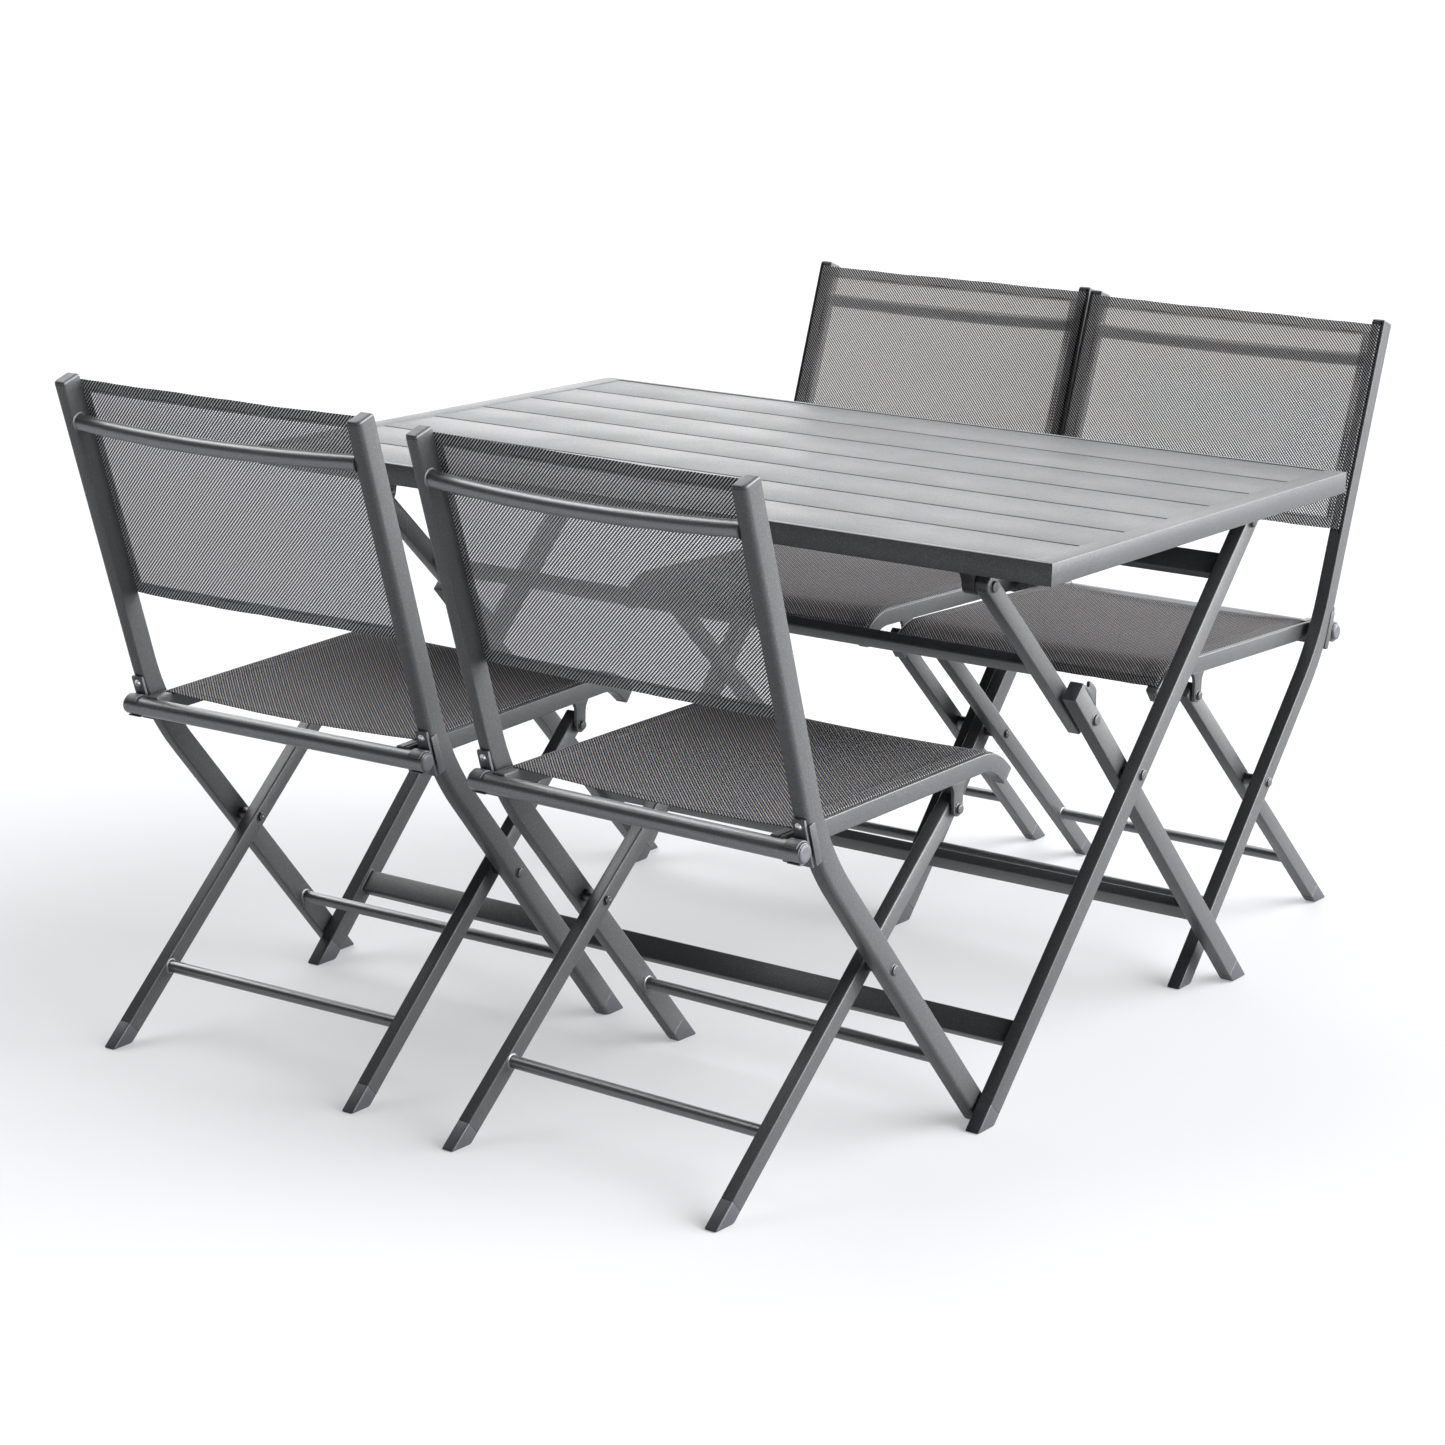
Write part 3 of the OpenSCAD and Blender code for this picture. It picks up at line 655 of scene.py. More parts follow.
SLAT_W = (TOP_W - 2 * RIM_SIDE - SLAT_GAP * (SLATS - 1)) / SLATS
SLAT_END = 0.4  # clearance at a slat's end, and its rounding
for i in range(SLATS):
    y = (i - (SLATS - 1) / 2) * (SLAT_W + SLAT_GAP)
    pc = Piece()
    sec = section(SLAT_W, SLAT_T, 1.1, 3)
    zc = TOP_Z - SLAT_DROP - SLAT_T / 2
    pc.rings([[(x, y + a, zc + b) for a, b in scaled(sec, SLAT_W, SLAT_T, inset)]
              for x, inset in ((-IX + SLAT_END, SLAT_END), (-IX + 2 * SLAT_END, 0),
                               (IX - 2 * SLAT_END, 0), (IX - SLAT_END, SLAT_END))])
    table_piece(pc, f"table_slat_{i + 1}", [COAT_TOP], "table_top", "table_slats")

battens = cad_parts["table_battens"].data.materials
battens.clear()
battens.append(COAT)


def bracket_outline(p, r=13.0, wide=28.0):
    """Hanging bracket round the joint p, wide at the table's underside."""
    pts = [(p[0] - wide, RIM_Z), (p[0] - wide + 2, RIM_Z - 5), (p[0] - r - 1, p[1] + 6)]
    pts += arc(p, r, 180, 360, 14)
    pts += [(p[0] + r + 1, p[1] + 6), (p[0] + wide - 2, RIM_Z - 5), (p[0] + wide, RIM_Z)]
    return pts


for tag, p, x1 in (("far", P_TOP_FAR, LEG_OUT - LEG_W - 1), ("near", P_TOP_NEAR, ARM_IN - 1)):
    pc = Piece()
    for s in (-1, 1):
        a, b = sorted((s * x1, s * (x1 - BRACKET_T)))
        pc.plate(bracket_outline(p), on_side, a, b, 1.5, 2)
    table_piece(pc, f"table_brackets_{tag}", [BLACK], "table_top", "table_brackets")


# -------- table legs
OUT_PAST, IN_PAST = 16, 58  # how far the legs run past their top joints
CUT_ENDS = (0.7, 0.7)


def outer_leg(pc):
    straight(pc, OUT_TUBE, P_FOOT_OUT, OUT_DIR, FOOT, OUT_LEN + OUT_PAST, CUT_ENDS)


def outer_plugs(pc):
    foot(pc, OUT_TUBE, P_FOOT_OUT, OUT_DIR)
    straight(pc, OUT_TUBE, P_TOP_FAR, OUT_DIR, OUT_PAST, OUT_PAST + 3, (0.4, 1.4))


pair("outer_leg", outer_leg, [COAT], "table_outer_legs", "outer_legs")
pair("outer_leg_plugs", outer_plugs, [PLUG], "table_outer_legs", "outer_leg_plugs")
for tag, s, depth in (("upper", 323.0, 34.0), ("lower", -388.0, 32.0)):
    cross_rail(f"outer_rail_{tag}", LEG_OUT - LEG_W, add(P_CROSS, OUT_DIR, s), OUT_DIR, depth,
               "table_outer_legs", "outer_rails")


def inner_leg(pc):
    """Leg with the latch hook that stands up beside the elbow."""
    straight(pc, IN_TUBE, P_FOOT_IN, IN_DIR, FOOT, IN_LEN + IN_PAST, CUT_ENDS)
    n = normal(IN_DIR)
    q = add(add(P_ELBOW, IN_DIR, 26), n, LEG_D / 2 - 0.5)
    pts = [(-3, -14), (1, -13), (7, -6), (13.5, 1), (14.8, 5), (14.4, 13), (13, 21), (11.4, 23.4)]
    pts += [(9, 23.4), (7, 21), (5.4, 20.4), (3.6, 21.4), (2.6, 24), (2.2, 29), (0.4, 31), (-3, 31)]
    pc.plate(pts, lambda a, b, t: at_yz(t, q, n, a, IN_DIR, b), IN_X - 5, IN_X, 0.9)


def inner_plugs(pc):
    foot(pc, IN_TUBE, P_FOOT_IN, IN_DIR)
    straight(pc, IN_TUBE, P_ELBOW, IN_DIR, IN_PAST, IN_PAST + 4, (0.4, 1.6))


pair("inner_leg", inner_leg, [COAT], "table_inner_legs", "inner_legs")
pair("inner_leg_plugs", inner_plugs, [PLUG], "table_inner_legs", "inner_leg_plugs")
cross_rail("inner_cross_rail", IN_X - LEG_W, add(P_CROSS, IN_DIR, -350), IN_DIR, 34.0,
           "table_inner_legs", "inner_rail")


def brace_arm(pc):
    """Arm with two chamfers, c long, at its upper end."""
    n = normal(ARM_DIR)
    h, c, past = ARM_D / 2, 7.0, 15
    pts = [(-past, -h + c), (-past + c, -h), (ARM_LEN + 25, -h), (ARM_LEN + 25, h), (-past + c, h), (-past, h - c)]
    pc.plate(pts, lambda a, b, t: at_yz(t, P_TOP_NEAR, ARM_DIR, a, n, b), ARM_IN, ARM_X, 2.2, 3)


pair("brace_arm", brace_arm, [COAT], "table_brace", "brace_arms")
cross_rail("brace_cross_rail", ARM_IN, add(P_TOP_NEAR, ARM_DIR, 182.5), ARM_DIR, 25.0,
           "table_brace", "brace_rail", 4.0)


def bolts(name, p, x0, x1, body, node, t=4.0):
    """Bolts along X at p with their heads at x1 and nuts at x0."""
    def build(pc):
        bolt_head(pc, x1, p, 1, 7.0, t)
        nut(pc, x0, p, -1, 6.2, 4.4)
        pc.lathe((x0, p[0], p[1]), (1, 0, 0), [(0, SHANK_R), (x1 - x0, SHANK_R)], 16)

    pair(name, build, [BOLT, COAT], body, node)


bolts("outer_top_bolt", P_TOP_FAR, LEG_OUT - LEG_W - 20, LEG_OUT, "table_outer_legs", "outer_top_bolts")
bolts("cross_bolt", P_CROSS, IN_X - LEG_W, LEG_OUT, "table_outer_legs", "cross_bolts")
bolts("brace_top_bolt", P_TOP_NEAR, ARM_IN - 20, ARM_X, "table_top", "brace_top_bolts", 3.8)
bolts("elbow_bolt", P_ELBOW, IN_X - LEG_W, IN_X, "table_inner_legs", "elbow_bolts")
# the brace's own half of the elbow: washer and nut on the arm's inner face
pair("elbow_nut", lambda pc: nut(pc, ARM_IN, P_ELBOW, -1, 6.4, 4.6), [BOLT], "table_brace", None)


# -------- chair frame
def on_back(f, u):
    """Point f in front of the post's centre line and u above the bar."""
    return add(add(P_POST, BACK_FW, f), BACK_UP, u)


def back_place(a, b, t):
    return (t, *on_back(a, b))


def grooved(w, d, radii, side, depth=SLOT_DEPTH, seg=5):
    """Rounded section with the sling slot beside its +X edge, in the face
    towards +b (side 1) or towards -b (side -1)."""
    pts = section(w, d, radii, seg)
    lo, hi = w / 2 - SLOT_IN, w / 2 - SLOT_OUT
    n = seg + 1
    if side > 0:
        cut = [(hi, d / 2), (hi, d / 2 - depth), (lo, d / 2 - depth), (lo, d / 2)]
        return pts[:n] + cut + pts[n:]
    cut = [(lo, -d / 2), (lo, -d / 2 + depth), (hi, -d / 2 + depth), (hi, -d / 2)]
    return pts[:3 * n] + cut + pts[3 * n:]


def post(pc):
    """Post from foot to top; the slot opens where the sling starts."""
    cut, flat = (grooved(POST_W, POST_D, POST_RADII, 1, d) for d in (SLOT_DEPTH, 0.04))
    n = normal(FOOT_UP)
    base = add(P_FOOT, FOOT_UP, FOOT)
    rings = [ring_yz(scaled(flat, POST_W, POST_D, 0.7), POST_X, base, n),
             ring_yz(flat, POST_X, add(base, FOOT_UP, 0.7), n)]
    for i in range(17):
        a = polar(FOOT_LEAN - TURN * i / 16)
        rings.append(ring_yz(flat, POST_X, add(BEND_O, a, -BEND_R), normal(left(a))))
    for sec, u in ((flat, SLING_U0 - 4), (cut, SLING_U0 - 3.4), (cut, POST_TOP - 0.7),
                   (scaled(cut, POST_W, POST_D, 0.7), POST_TOP)):
        rings.append(ring_yz(sec, POST_X, add(P_POST, BACK_UP, u), BACK_FW))
    pc.rings(rings)


def post_plugs(pc):
    """Foot, and a rounded cap of (height, inset) rings."""
    foot(pc, (POST_X, POST_W, POST_D, POST_RADII), P_FOOT, FOOT_UP)
    sec = section(POST_W, POST_D, POST_RADII, 5)
    pc.rings([ring_yz(scaled(sec, POST_W, POST_D, q), POST_X, add(P_POST, BACK_UP, POST_TOP + s), BACK_FW)
              for s, q in ((0, 0.3), (0.8, 0.25), (1.8, 0.5), (2.8, 1.2), (3.5, 2.2), (3.9, 3.4), (CAP, 4.6))])


def top_rail(pc):
    """Round rail between the post tops, bowed backwards."""
    bow, radius, fillet, above = 16.0, 10.0, 2.4, 392
    r = (SIDE_X**2 + bow**2) / (2 * bow)
    middle = [-SIDE_X + fillet + (2 * SIDE_X - 2 * fillet) * i / 40 for i in range(1, 40)]
    rings = []
    for x in stations(SIDE_X, fillet, middle):
        f = r - bow - 6 - math.sqrt(r * r - x * x)
        slope = x / math.sqrt(r * r - x * x)
        n = math.hypot(1, slope)
        # the rings stand square to the bow, but flat where they meet the posts
        at_end = abs(x) > SIDE_X - fillet
        ring = []
        for a, b in circle(radius + flare(SIDE_X - abs(x), fillet)):
            ff, dx = (a, 0) if at_end else (a / n, -a * slope / n)
            ring.append((x + dx, *on_back(f + ff, above + b)))
        rings.append(ring)
    pc.rings(rings)


def clip(pc):
    """Clip on the post's rear face that holds the seat's bar."""
    inner, outer, open_at = 12.4, 14.8, 126
    th = math.degrees(math.acos((BAR_BACK - POST_D / 2 - 4) / outer))
    c = (-BAR_BACK, 0.0)
    pts = [(-15, -28), (-18.2, -28), (-19, -26)]
    pts += arc(c, outer, -th, -open_at, 9)
    pts += [add(c, polar(-132), 13.9), add(c, polar(-131), 12.9)]
    pts += arc(c, inner, -open_at, open_at, 26)
    pts += [add(c, polar(131), 12.9), add(c, polar(132), 13.9)]
    pts += arc(c, outer, open_at, th, 9)
    pts += [(-19, 31), (-18, 34), (-15, 34)]
    pc.plate(pts, back_place, SIDE_X + 0.3, SIDE_X + 18, 0.7)


def clip_flange(pc):
    """Thin leg of the clip on the post's outer face."""
    pts = [(-14.6, -27), (-4.5, -27), (-3.5, -26), (-3.5, 25), (-4.5, 26), (-14.6, 26)]
    pc.plate(pts, back_place, POST_OUT - 0.2, POST_OUT + 1.1, 0.35)


def clip_screw(pc):
    pc.lathe((SIDE_X + 9, *on_back(-18.9, 25.5)), (0, -BACK_FW[0], -BACK_FW[1]),
             [(0, 4.9), (0.7, 4.9), (1.0, 4.2), (1.8, 3.8), (2.5, 2.6), (2.6, 1.9, True), (1.4, 1.8, True)], 24)


def rear_leg(pc):
    top = dist(REAR_FOOT, HANG) + 13
    straight(pc, REAR_TUBE, REAR_FOOT, REAR_DIR, FOOT, top, (0.7, 1.6))


def rear_foot(pc):
    foot(pc, REAR_TUBE, REAR_FOOT, REAR_DIR)


def front_rod(pc):
    rod(pc, SIDE_X, add(P_FOOT, FOOT_DN, -130))


def rear_rod(pc):
    rod(pc, REAR_IN, add(PIVOT, REAR_DIR, -242))


def chair_pivot(pc):
    """Bolt through post and rear leg, with the spacer between them."""
    bolt_head(pc, POST_OUT, PIVOT, 1, 6.5, 3.6)
    nut(pc, REAR_IN, PIVOT, -1, 6.0, 4.4)
    pc.lathe((REAR_OUT + 0.2, PIVOT[0], PIVOT[1]), (1, 0, 0),
             [(0, 7.4), (0.5, 8), (SIDE_X - REAR_OUT - 0.9, 8), (SIDE_X - REAR_OUT - 0.4, 7.4)])


def chair_hang(pc):
    bolt_head(pc, SEAT_OUT, HANG, 1, 6.0, 4.6)
    nut(pc, REAR_IN, HANG, -1, 6.0, 4.4)
    pc.lathe((REAR_IN, HANG[0], HANG[1]), (1, 0, 0), [(0, SHANK_R), (SEAT_OUT - REAR_IN, SHANK_R)], 16)


# -------- seat frame
def seat_path(h=0.0, y0=BAR[0], tail=NOSE_TAIL, n=18):
    """Points and directions along the seat rail, h above its centre line."""
    out = [(add(add(RAIL_0, RAIL_DIR, (y0 - BAR[0]) / RAIL_DIR[0]), RAIL_UP, h), RAIL_DIR)]
    for i in range(n + 1):
        v = polar(SEAT_SLOPE - (NOSE_DIP + SEAT_SLOPE) * i / n)
        out.append((add(NOSE_O, left(v), NOSE_R + h), v))
    end = polar(-NOSE_DIP)
    p = add(NOSE_O, left(end), NOSE_R + h)
    out.append((add(p, end, tail), end))
    return out


def seat_rail(pc):
    """Rail with the sling's slot, and the lug below it that HANG goes through."""
    cut = grooved(SEAT_W, SEAT_D, (TUBE_R, TUBE_R, TUBE_R, 1.8), -1)
    small = scaled(cut, SEAT_W, SEAT_D, 0.8)
    path = seat_path()
    (p0, v0), (p1, v1) = path[0], path[-1]
    rings = [ring_yz(small, SEAT_X, p0, normal(v0)), ring_yz(cut, SEAT_X, add(p0, v0, 0.8), normal(v0))]
    rings += [ring_yz(cut, SEAT_X, p, normal(v)) for p, v in path[1:-1]]
    rings += [ring_yz(cut, SEAT_X, add(p1, v1, -0.8), normal(v1)), ring_yz(small, SEAT_X, p1, normal(v1))]
    pc.rings(rings)
    under = RAIL_0[1] + (HANG[0] - BAR[0]) * tan(SEAT_SLOPE) - SEAT_D / 2 - HANG[1]
    side = [(10, under - 13), (11, under - 7), (14.5, under - 1.5), (17, under + 2)]
    pts = [(-a, b) for a, b in side[::-1]] + arc((0, 0), 10, 180, 360, 16) + side
    pc.plate(pts, lambda a, b, t: (t, HANG[0] + a, HANG[1] + b), SEAT_OUT - 5, SEAT_OUT, 0.9)


def seat_bar(pc):
    pc.lathe((-241.6, BAR[0], BAR[1]), (1, 0, 0),
             [(0, BAR_R - 0.7), (0.3, BAR_R - 0.2), (0.9, BAR_R), (150, BAR_R), (333, BAR_R),
              (482.3, BAR_R), (482.9, BAR_R - 0.2), (483.2, BAR_R - 0.7)], 48)


def seat_plugs(pc):
    """Plug in the rail's front end, plug in the bar, and saddle under the rail."""
    p, v = seat_path()[-1]
    sec = section(SEAT_W, SEAT_D, TUBE_R)
    pc.rings([ring_yz(scaled(sec, SEAT_W, SEAT_D, inset), SEAT_X, add(p, v, s), normal(v))
              for s, inset in ((0, 0.5), (0.5, 0.0), (3.5, 0.0), (5.2, 0.5), (6.6, 1.6), (7.5, 3.2), (7.9, 5.2))])
    pc.lathe((241.4, BAR[0], BAR[1]), (1, 0, 0), [(0, BAR_R - 0.5), (0.5, BAR_R - 0.5), (1.5, BAR_R - 1.1),
                                                  (2.3, BAR_R - 2.4), (2.5, BAR_R - 5), (2.1, 3)], 36)
    under = RAIL_0[1] - SEAT_D / 2
    y = BAR[0]
    pts = [(y + 9, under - 9), (y + 24, under - 8.6), (y + 32, under - 5),
           (y + 60, under + 60 * tan(SEAT_SLOPE)), (y + 6, under + 0.4)]
    pc.plate(pts, on_side, REAR_OUT + 0.6, SEAT_OUT - 1, 0.9)


# -------- slings
SLING_THIN, SLING_HEM = 0.45, 1.15  # thickness of the open weave and of a hem
HEM_X, HEM_T = 25.0, 17.0  # width of the hems at the sides and at the ends
STITCH_PITCH, STITCH_LEN, STITCH_R = 4.4, 3.0, 0.36
STITCH_SHAPE = ((-0.5, 0.35), (-0.34, 0.9), (0.0, 1.05), (0.34, 0.9), (0.5, 0.35))
UV_X, UV_T = 900, 40  # keep the UVs positive
TUCK_X, TUCK_Z = 3.0, 2.9  # width and depth of the edge that turns into a slot
BACK_DIP, SEAT_DIP = 5.2, 8.5  # how far the slings hang in at the middle


def wave(t, k):
    """Small unevenness of a hand-fed hem."""
    return 0.5 * math.sin(t * 0.021 + k) + 0.35 * math.sin(t * 0.057 + 2.3 * k) + 0.15 * math.sin(t * 0.151 + 4.1 * k)


def lines(half, hem, n):
    """Grid lines from -half to half, close together at the edges."""
    inner = half - hem
    core = [-inner + 2 * inner * i / n for i in range(n + 1)]
    side = [half - v for v in (0.0, 0.5, 1.1, 1.8, 2.7, 4.5, hem * 0.6, hem - 0.9)]
    return [-v for v in side] + core + side[::-1]


class Sling:
    """A closed sheet over a grid. at(x, t) gives the middle surface and its
    normal; the hems are folded over and more than twice as thick."""

    def __init__(self, at, half, length):
        self.at, self.half, self.length = at, half, length
        self.xs = lines(half, HEM_X, 26)
        self.ts = [length / 2 + v for v in lines(length / 2, HEM_T, 20)]

    def depth(self, x, t):
        """0 on the open weave, 1 on a hem."""
        a = HEM_X - (self.half - abs(x))
        b = HEM_T - (self.length / 2 - abs(t - self.length / 2))
        return min(1.0, max(0.0, max(a, b) / 0.9))

    def thickness(self, x, t):
        e = min(self.half - abs(x), self.length / 2 - abs(t - self.length / 2))
        edge = min(1.0, 0.55 + e / 0.6 * 0.45)
        return (SLING_THIN + (SLING_HEM - SLING_THIN) * self.depth(x, t)) * edge

    def build(self, pc):
        """Open weave in material 0 and hems in material 1."""
        grid = {}
        nx, nt = len(self.xs), len(self.ts)
        for side in (1, -1):
            for i, x in enumerate(self.xs):
                for j, t in enumerate(self.ts):
                    p, n = self.at(x, t)
                    h = self.thickness(x, t) / 2 * side
                    grid[side, i, j] = pc.bm.verts.new([(p[c] + n[c] * h) * MM for c in range(3)])

        def face(corners, mat):
            f = pc.bm.faces.new([grid[c] for c in corners])
            f.material_index = mat
            for loop, (_, i, j) in zip(f.loops, corners):
                loop[pc.uv].uv = ((self.xs[i] + UV_X) / YARN, (self.ts[j] + UV_T) / YARN)

        for i in range(nx - 1):
            for j in range(nt - 1):
                q = [(i, j), (i + 1, j), (i + 1, j + 1), (i, j + 1)]
                cx, ct = (self.xs[i] + self.xs[i + 1]) / 2, (self.ts[j] + self.ts[j + 1]) / 2
                mat = 1 if self.depth(cx, ct) > 0.3 else 0
                face([(1, a, b) for a, b in q], mat)
                face([(-1, a, b) for a, b in q[::-1]], mat)
        rim = [(i, 0) for i in range(nx)] + [(nx - 1, j) for j in range(1, nt)]
        rim += [(i, nt - 1) for i in range(nx - 2, -1, -1)] + [(0, j) for j in range(nt - 2, 0, -1)]
        for (i, j), (a, b) in zip(rim, rim[1:] + rim[:1]):
            face([(1, i, j), (-1, i, j), (-1, a, b), (1, a, b)], 1)

    def stitch(self, pc, x0, t0, x1, t1):
        """A row of stitches from (x0, t0) to (x1, t1), on both faces."""
        length = math.hypot(x1 - x0, t1 - t0)
        n = int(length / STITCH_PITCH)
        dx, dt = (x1 - x0) / length, (t1 - t0) / length
        for k in range(n):
            m = (k + 0.5) * length / n
            for side in (1, -1):
                rings = []
                for s, q in STITCH_SHAPE:
                    x, t = x0 + dx * (m + s * STITCH_LEN), t0 + dt * (m + s * STITCH_LEN)
                    p, nrm = self.at(x, t)
                    h = self.thickness(x, t) / 2 + 0.12 - 0.3 * (1 - q)
                    ring = []
                    for a, b in circle(STITCH_R * q, 6):
                        px = [p[c] + nrm[c] * (h + b) * side for c in range(3)]
                        p2, _ = self.at(x - dt * a, t + dx * a)
                        ring.append(tuple(px[c] + p2[c] - p[c] for c in range(3)))
                    rings.append(ring)
                pc.rings(rings)

    def stitches(self, clear, row):
        """Builder of the seams: one across each end, clear of the edges, and two
        along each side, the outer one row from the edge."""
        def build(pc):
            h, ln = self.half, self.length
            for t in (13.5, ln - 13.5):
                self.stitch(pc, -h + clear, t, h - clear, t)
            for s in (-1, 1):
                for inset in (21.5, row):
                    self.stitch(pc, s * (h - inset), 15, s * (h - inset), ln - 15)

        return build


def tuck(x, half):
    """How far the sling's edge turns down into its slot, and its slope."""
    t = (abs(x) - (half - TUCK_X)) / TUCK_X
    if t <= 0:
        return 0.0, 0.0
    return TUCK_Z * t**2.2, TUCK_Z * 2.2 * t**1.2 / TUCK_X * (1 if x > 0 else -1)


BACK_HALF = POST_OUT - 4.6
SEAT_HALF = SEAT_OUT - 4.6
BACK_LEN = SLING_U1 - SLING_U0
SLING_REST = 0.7  # middle of a sling above the tubes it lies on
SEAT_EDGE = SEAT_REAR - 10  # Y of the seat sling's rear edge


def back_at(x, t):
    """Back sling at x across and t up from its lower edge, with the normal."""
    free = SIDE_X + 1.5
    k = max(0.0, 1 - (x / free) ** 2)
    m = t / BACK_LEN
    deep = BACK_DIP * (0.7 + 0.3 * math.sin(math.pi * m))
    drop, slope = tuck(x, BACK_HALF)
    if k > 0:
        slope = -deep * 2 * x / free**2
    edge = abs(2 * m - 1) ** 6
    u = SLING_U0 + t + edge * wave(x, 1.0 if m < 0.5 else 2.6) * (1 if abs(x) < BACK_HALF - 6 else 0.4)
    q = on_back(POST_D / 2 + SLING_REST - deep * k - drop, u)
    n = Vector((slope, BACK_FW[0], BACK_FW[1])).normalized()
    return (x, q[0], q[1]), tuple(n)


def seat_line():
    """Points and directions along the seat sling, and their distances from its
    rear edge. The straight part is cut into short steps as well."""
    pts = seat_path(SEAT_D / 2 + SLING_REST, SEAT_EDGE, NOSE_TAIL - 2, 40)
    steps = 60
    (p0, v0), (p1, _) = pts[0], pts[1]
    out = [(add(p0, (p1[0] - p0[0], p1[1] - p0[1]), i / steps), v0) for i in range(steps)] + pts[1:]
    acc = [0.0]
    for a, b in zip(out, out[1:]):
        acc.append(acc[-1] + dist(a[0], b[0]))
    return out, acc


SEAT_LINE, SEAT_ACC = seat_line()
SEAT_LEN = SEAT_ACC[-1]


def seat_at(x, t):
    """Seat sling at x across and t forward from its rear edge, with the normal."""
    t = min(max(t, 0.0), SEAT_LEN)
    k = 0
    while k < len(SEAT_ACC) - 2 and SEAT_ACC[k + 1] < t:
        k += 1
    m = (t - SEAT_ACC[k]) / (SEAT_ACC[k + 1] - SEAT_ACC[k])
    (pa, va), (pb, vb) = SEAT_LINE[k], SEAT_LINE[k + 1]
    p = (pa[0] + (pb[0] - pa[0]) * m, pa[1] + (pb[1] - pa[1]) * m)
    v = unit((0, 0), (va[0] + (vb[0] - va[0]) * m, va[1] + (vb[1] - va[1]) * m))
    free = SEAT_OUT - SEAT_W
    inside = max(0.0, 1 - (x / free) ** 2)
    along = t / SEAT_LEN
    sag = SEAT_DIP * inside * (0.62 + 0.38 * math.sin(math.pi * min(1.0, along * 1.15))) * (1 - 0.35 * along**4)
    dip, slope = tuck(x, SEAT_HALF)
    up = left(v)
    edge = abs(2 * along - 1) ** 8 * wave(x, 3.3 if along < 0.5 else 5.1)
    q = add(add(p, up, -sag - dip), v, edge)
    if inside > 0:
        slope = -SEAT_DIP * 2 * x / free**2
    n = Vector((slope, up[0], up[1])).normalized()
    return (x, q[0], q[1]), tuple(n)


BACK = Sling(back_at, BACK_HALF, BACK_LEN)
SEAT = Sling(seat_at, SEAT_HALF, SEAT_LEN)

# -------- chairs
# name, builder, materials, body, CAD node it stands for, slot, mirrored copy too
CHAIR_PARTS = (
    ("post", post, [COAT], "frame", "posts", "frame_coat", True),
    ("top_rail", top_rail, [COAT_GLOSS], "frame", "cross_rails", "frame_coat", False),
    ("front_rod", front_rod, [COAT_GLOSS], "frame", "cross_rails", "frame_coat", False),
    ("back_sling_cloth", BACK.build, [WEAVE_BACK, WEAVE_HEM_PAINTED_SHADE], "frame", "back_sling", "mesh", False),
    ("back_stitches", BACK.stitches(5, 17.5), [THREAD], "frame", None, "mesh", False),
    ("bar_clip", clip, [PLASTIC], "frame", "bar_clips", "plastic", True),
    ("clip_flange", clip_flange, [COAT], "frame", "bar_clips", "frame_coat", True),
    ("clip_screw", clip_screw, [SCREW], "frame", "bar_clips", "hardware", True),
    ("post_plugs", post_plugs, [PLUG], "frame", "post_plugs", "plastic", True),
    ("rear_leg", rear_leg, [COAT], "rear_legs", "rear_legs", "frame_coat", True),
    ("rear_rod", rear_rod, [COAT_GLOSS], "rear_legs", "rear_legs", "frame_coat", False),
    ("rear_foot", rear_foot, [PLUG], "rear_legs", "rear_feet", "plastic", True),
    ("pivot_bolt", chair_pivot, [BOLT, COAT], "rear_legs", "pivot_bolts", "hardware", True),
    ("seat_bolt", chair_hang, [BOLT, COAT], "rear_legs", "pivot_bolts", "hardware", True),
    ("seat_rail", seat_rail, [COAT], "seat", "seat_frame", "frame_coat", True),
    ("seat_bar", seat_bar, [COAT_GLOSS], "seat", "seat_frame", "frame_coat", False),
    ("seat_sling_cloth", SEAT.build, [WEAVE_SEAT, WEAVE_SEAT_HEM], "seat", "seat_sling", "mesh", False),
    ("seat_stitches", SEAT.stitches(6, 15.5), [THREAD], "seat", None, "mesh", False),
    ("seat_plug", seat_plugs, [PLASTIC], "seat", "seat_plugs", "plastic", True),
)

meshes = {}
for name, build, mats, body, node, slot, twice in CHAIR_PARTS:
    me = build_mesh(name, build, mats, SMOOTH_SLING if "sling" in name else SMOOTH)
    meshes[name] = [("_right", me), ("_left", mirrored(me, name + "_left"))] if twice else [("", me)]

for k, (cx, cy, turn) in enumerate(CHAIRS, 1):
    place = Matrix.Translation((cx * MM, (cy + SET_Y) * MM, 0)) @ Matrix.Rotation(math.radians(turn), 4, "Z")
    for name, build, mats, body, node, slot, twice in CHAIR_PARTS:
        stands_for = f"chair{k}_{node}" if node else None
        for tag, me in meshes[name]:
            put(f"chair{k}_{name}{tag}", me, f"chair{k}_{body}", place, stands_for)


# -------- camera
CAM_AZ, CAM_EL, CAM_ROLL = 34.577, 14.216, 1.1816
CAM_AT = (2.5895, -3.9264 + SET_Y * MM, 1.544)  # metres
scene = bpy.context.scene
(ca, sa), (ce, se), (cr, sr) = polar(CAM_AZ), polar(CAM_EL), polar(CAM_ROLL)
back = Vector((sa * ce, -ca * ce, se))
right = Vector((ca, sa, 0))
up = back.cross(right)
right, up = right * cr + up * sr, up * cr - right * sr
cam = bpy.data.cameras.new("camera")
cam.sensor_width = 36
cam.lens = 88.74
cam.clip_end = 400
cam_ob = bpy.data.objects.new("camera", cam)
scene.collection.objects.link(cam_ob)
view = Matrix((right, up, back)).transposed().to_4x4()
view.translation = CAM_AT
cam_ob.matrix_world = view
scene.camera = cam_ob

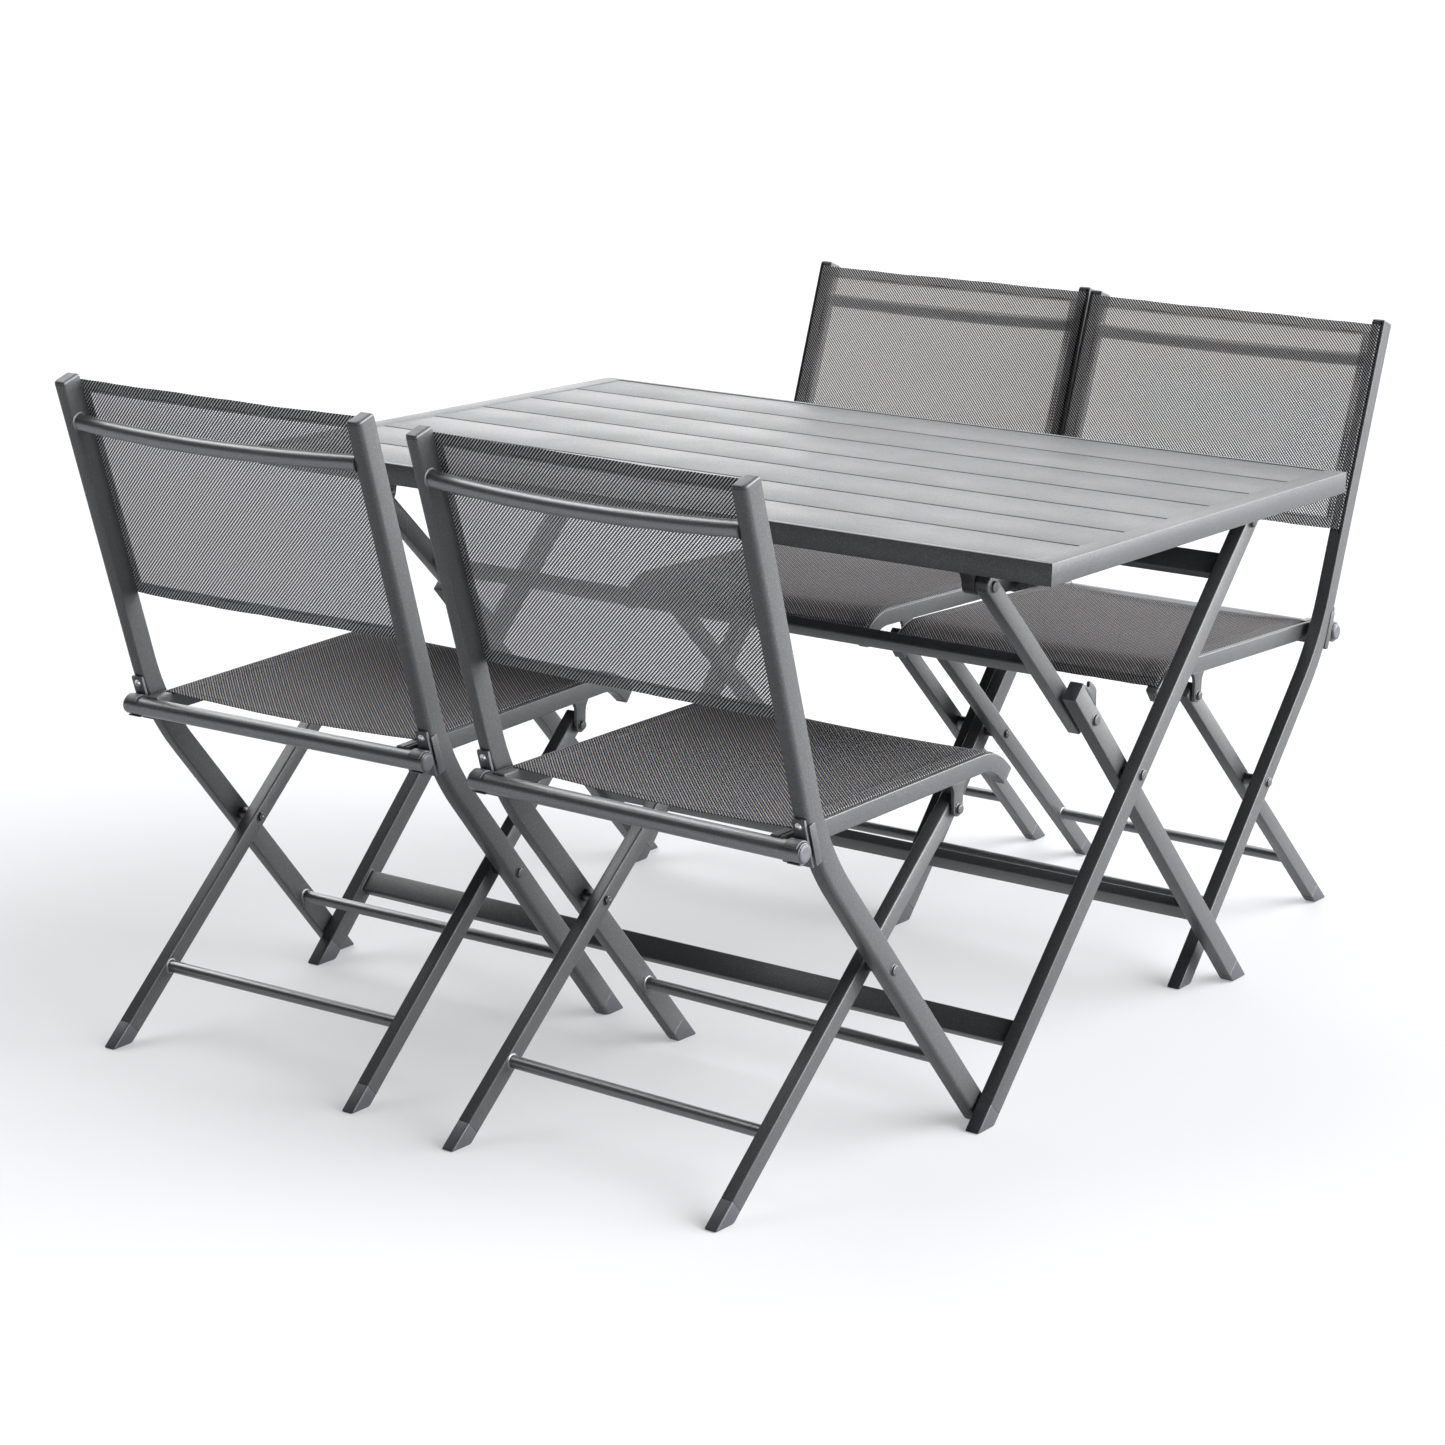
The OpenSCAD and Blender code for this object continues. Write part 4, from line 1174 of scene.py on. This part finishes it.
# -------- floor
FLOOR_R, FLOOR_T, FLOOR_N = 60000, 0.2, 96
FLOOR_DROP = 0.0006  # metres below the feet, so that no faces coincide
pc = Piece()
pc.rings([[(FLOOR_R * math.cos(2 * math.pi * i / FLOOR_N), FLOOR_R * math.sin(2 * math.pi * i / FLOOR_N), z)
           for i in range(FLOOR_N)] for z in (-FLOOR_T, 0.0)])
floor_mat, nt, bsdf, coord = new_material("pale_floor")
tone = ramp(nt, noise(nt, coord, 1.5), 0.3, 0.7, 0.0, 1.0)
nt.links.new(mix_rgb(nt, tone, (0.258, 0.262, 0.270), (0.262, 0.266, 0.274)), bsdf.inputs["Base Color"])
bsdf.inputs["Roughness"].default_value = 0.9
# a little light of its own keeps the floor as pale as the backdrop
bsdf.inputs["Emission Color"].default_value = (0.98, 0.985, 1.0, 1.0)
bsdf.inputs["Emission Strength"].default_value = 0.35
bsdf.inputs["Specular IOR Level"].default_value = 0.15
floor = bpy.data.objects.new("floor", pc.make("floor", [floor_mat]))
scene.collection.objects.link(floor)
floor.location.z = -FLOOR_DROP

# -------- light
BACKDROP = (0.97, 0.975, 0.99)  # what the camera sees of the sky
AMBIENT = 0.035
world = bpy.data.worlds.new("studio")
scene.world = world
world.use_nodes = True
nt = world.node_tree
nt.nodes.clear()
out = nt.nodes.new("ShaderNodeOutputWorld")
bg = nt.nodes.new("ShaderNodeBackground")
nt.links.new(bg.outputs[0], out.inputs[0])
gen = nt.nodes.new("ShaderNodeTexCoord").outputs["Generated"]


def lobe(direction, lo, hi, strength):
    """Smooth lobe of the sky round a direction: cosine lo..hi to 0..strength."""
    dot = nt.nodes.new("ShaderNodeVectorMath")
    dot.operation = "DOT_PRODUCT"
    nt.links.new(gen, dot.inputs[0])
    dot.inputs[1].default_value = Vector(direction).normalized()
    return ramp(nt, dot.outputs["Value"], lo, hi, 0.0, strength)


key = lobe((1.0, 0.52, 0.25), 0.55, 1.0, 16.0)
rear = lobe((-0.57, 0.82, 0.20), 0.40, 0.95, 2.7)
over = lobe((-0.55, 0.02, 0.83), 0.90, 1.0, 6.8)
total = math_node(nt, "ADD", math_node(nt, "ADD", key, rear), math_node(nt, "ADD", over, AMBIENT))
lit = mix_rgb(nt, 1.0, (1.0, 1.0, 1.0), total, "MULTIPLY")
seen = nt.nodes.new("ShaderNodeLightPath").outputs["Is Camera Ray"]
nt.links.new(mix_rgb(nt, seen, lit, BACKDROP), bg.inputs[0])
scene.view_settings.view_transform = "Standard"
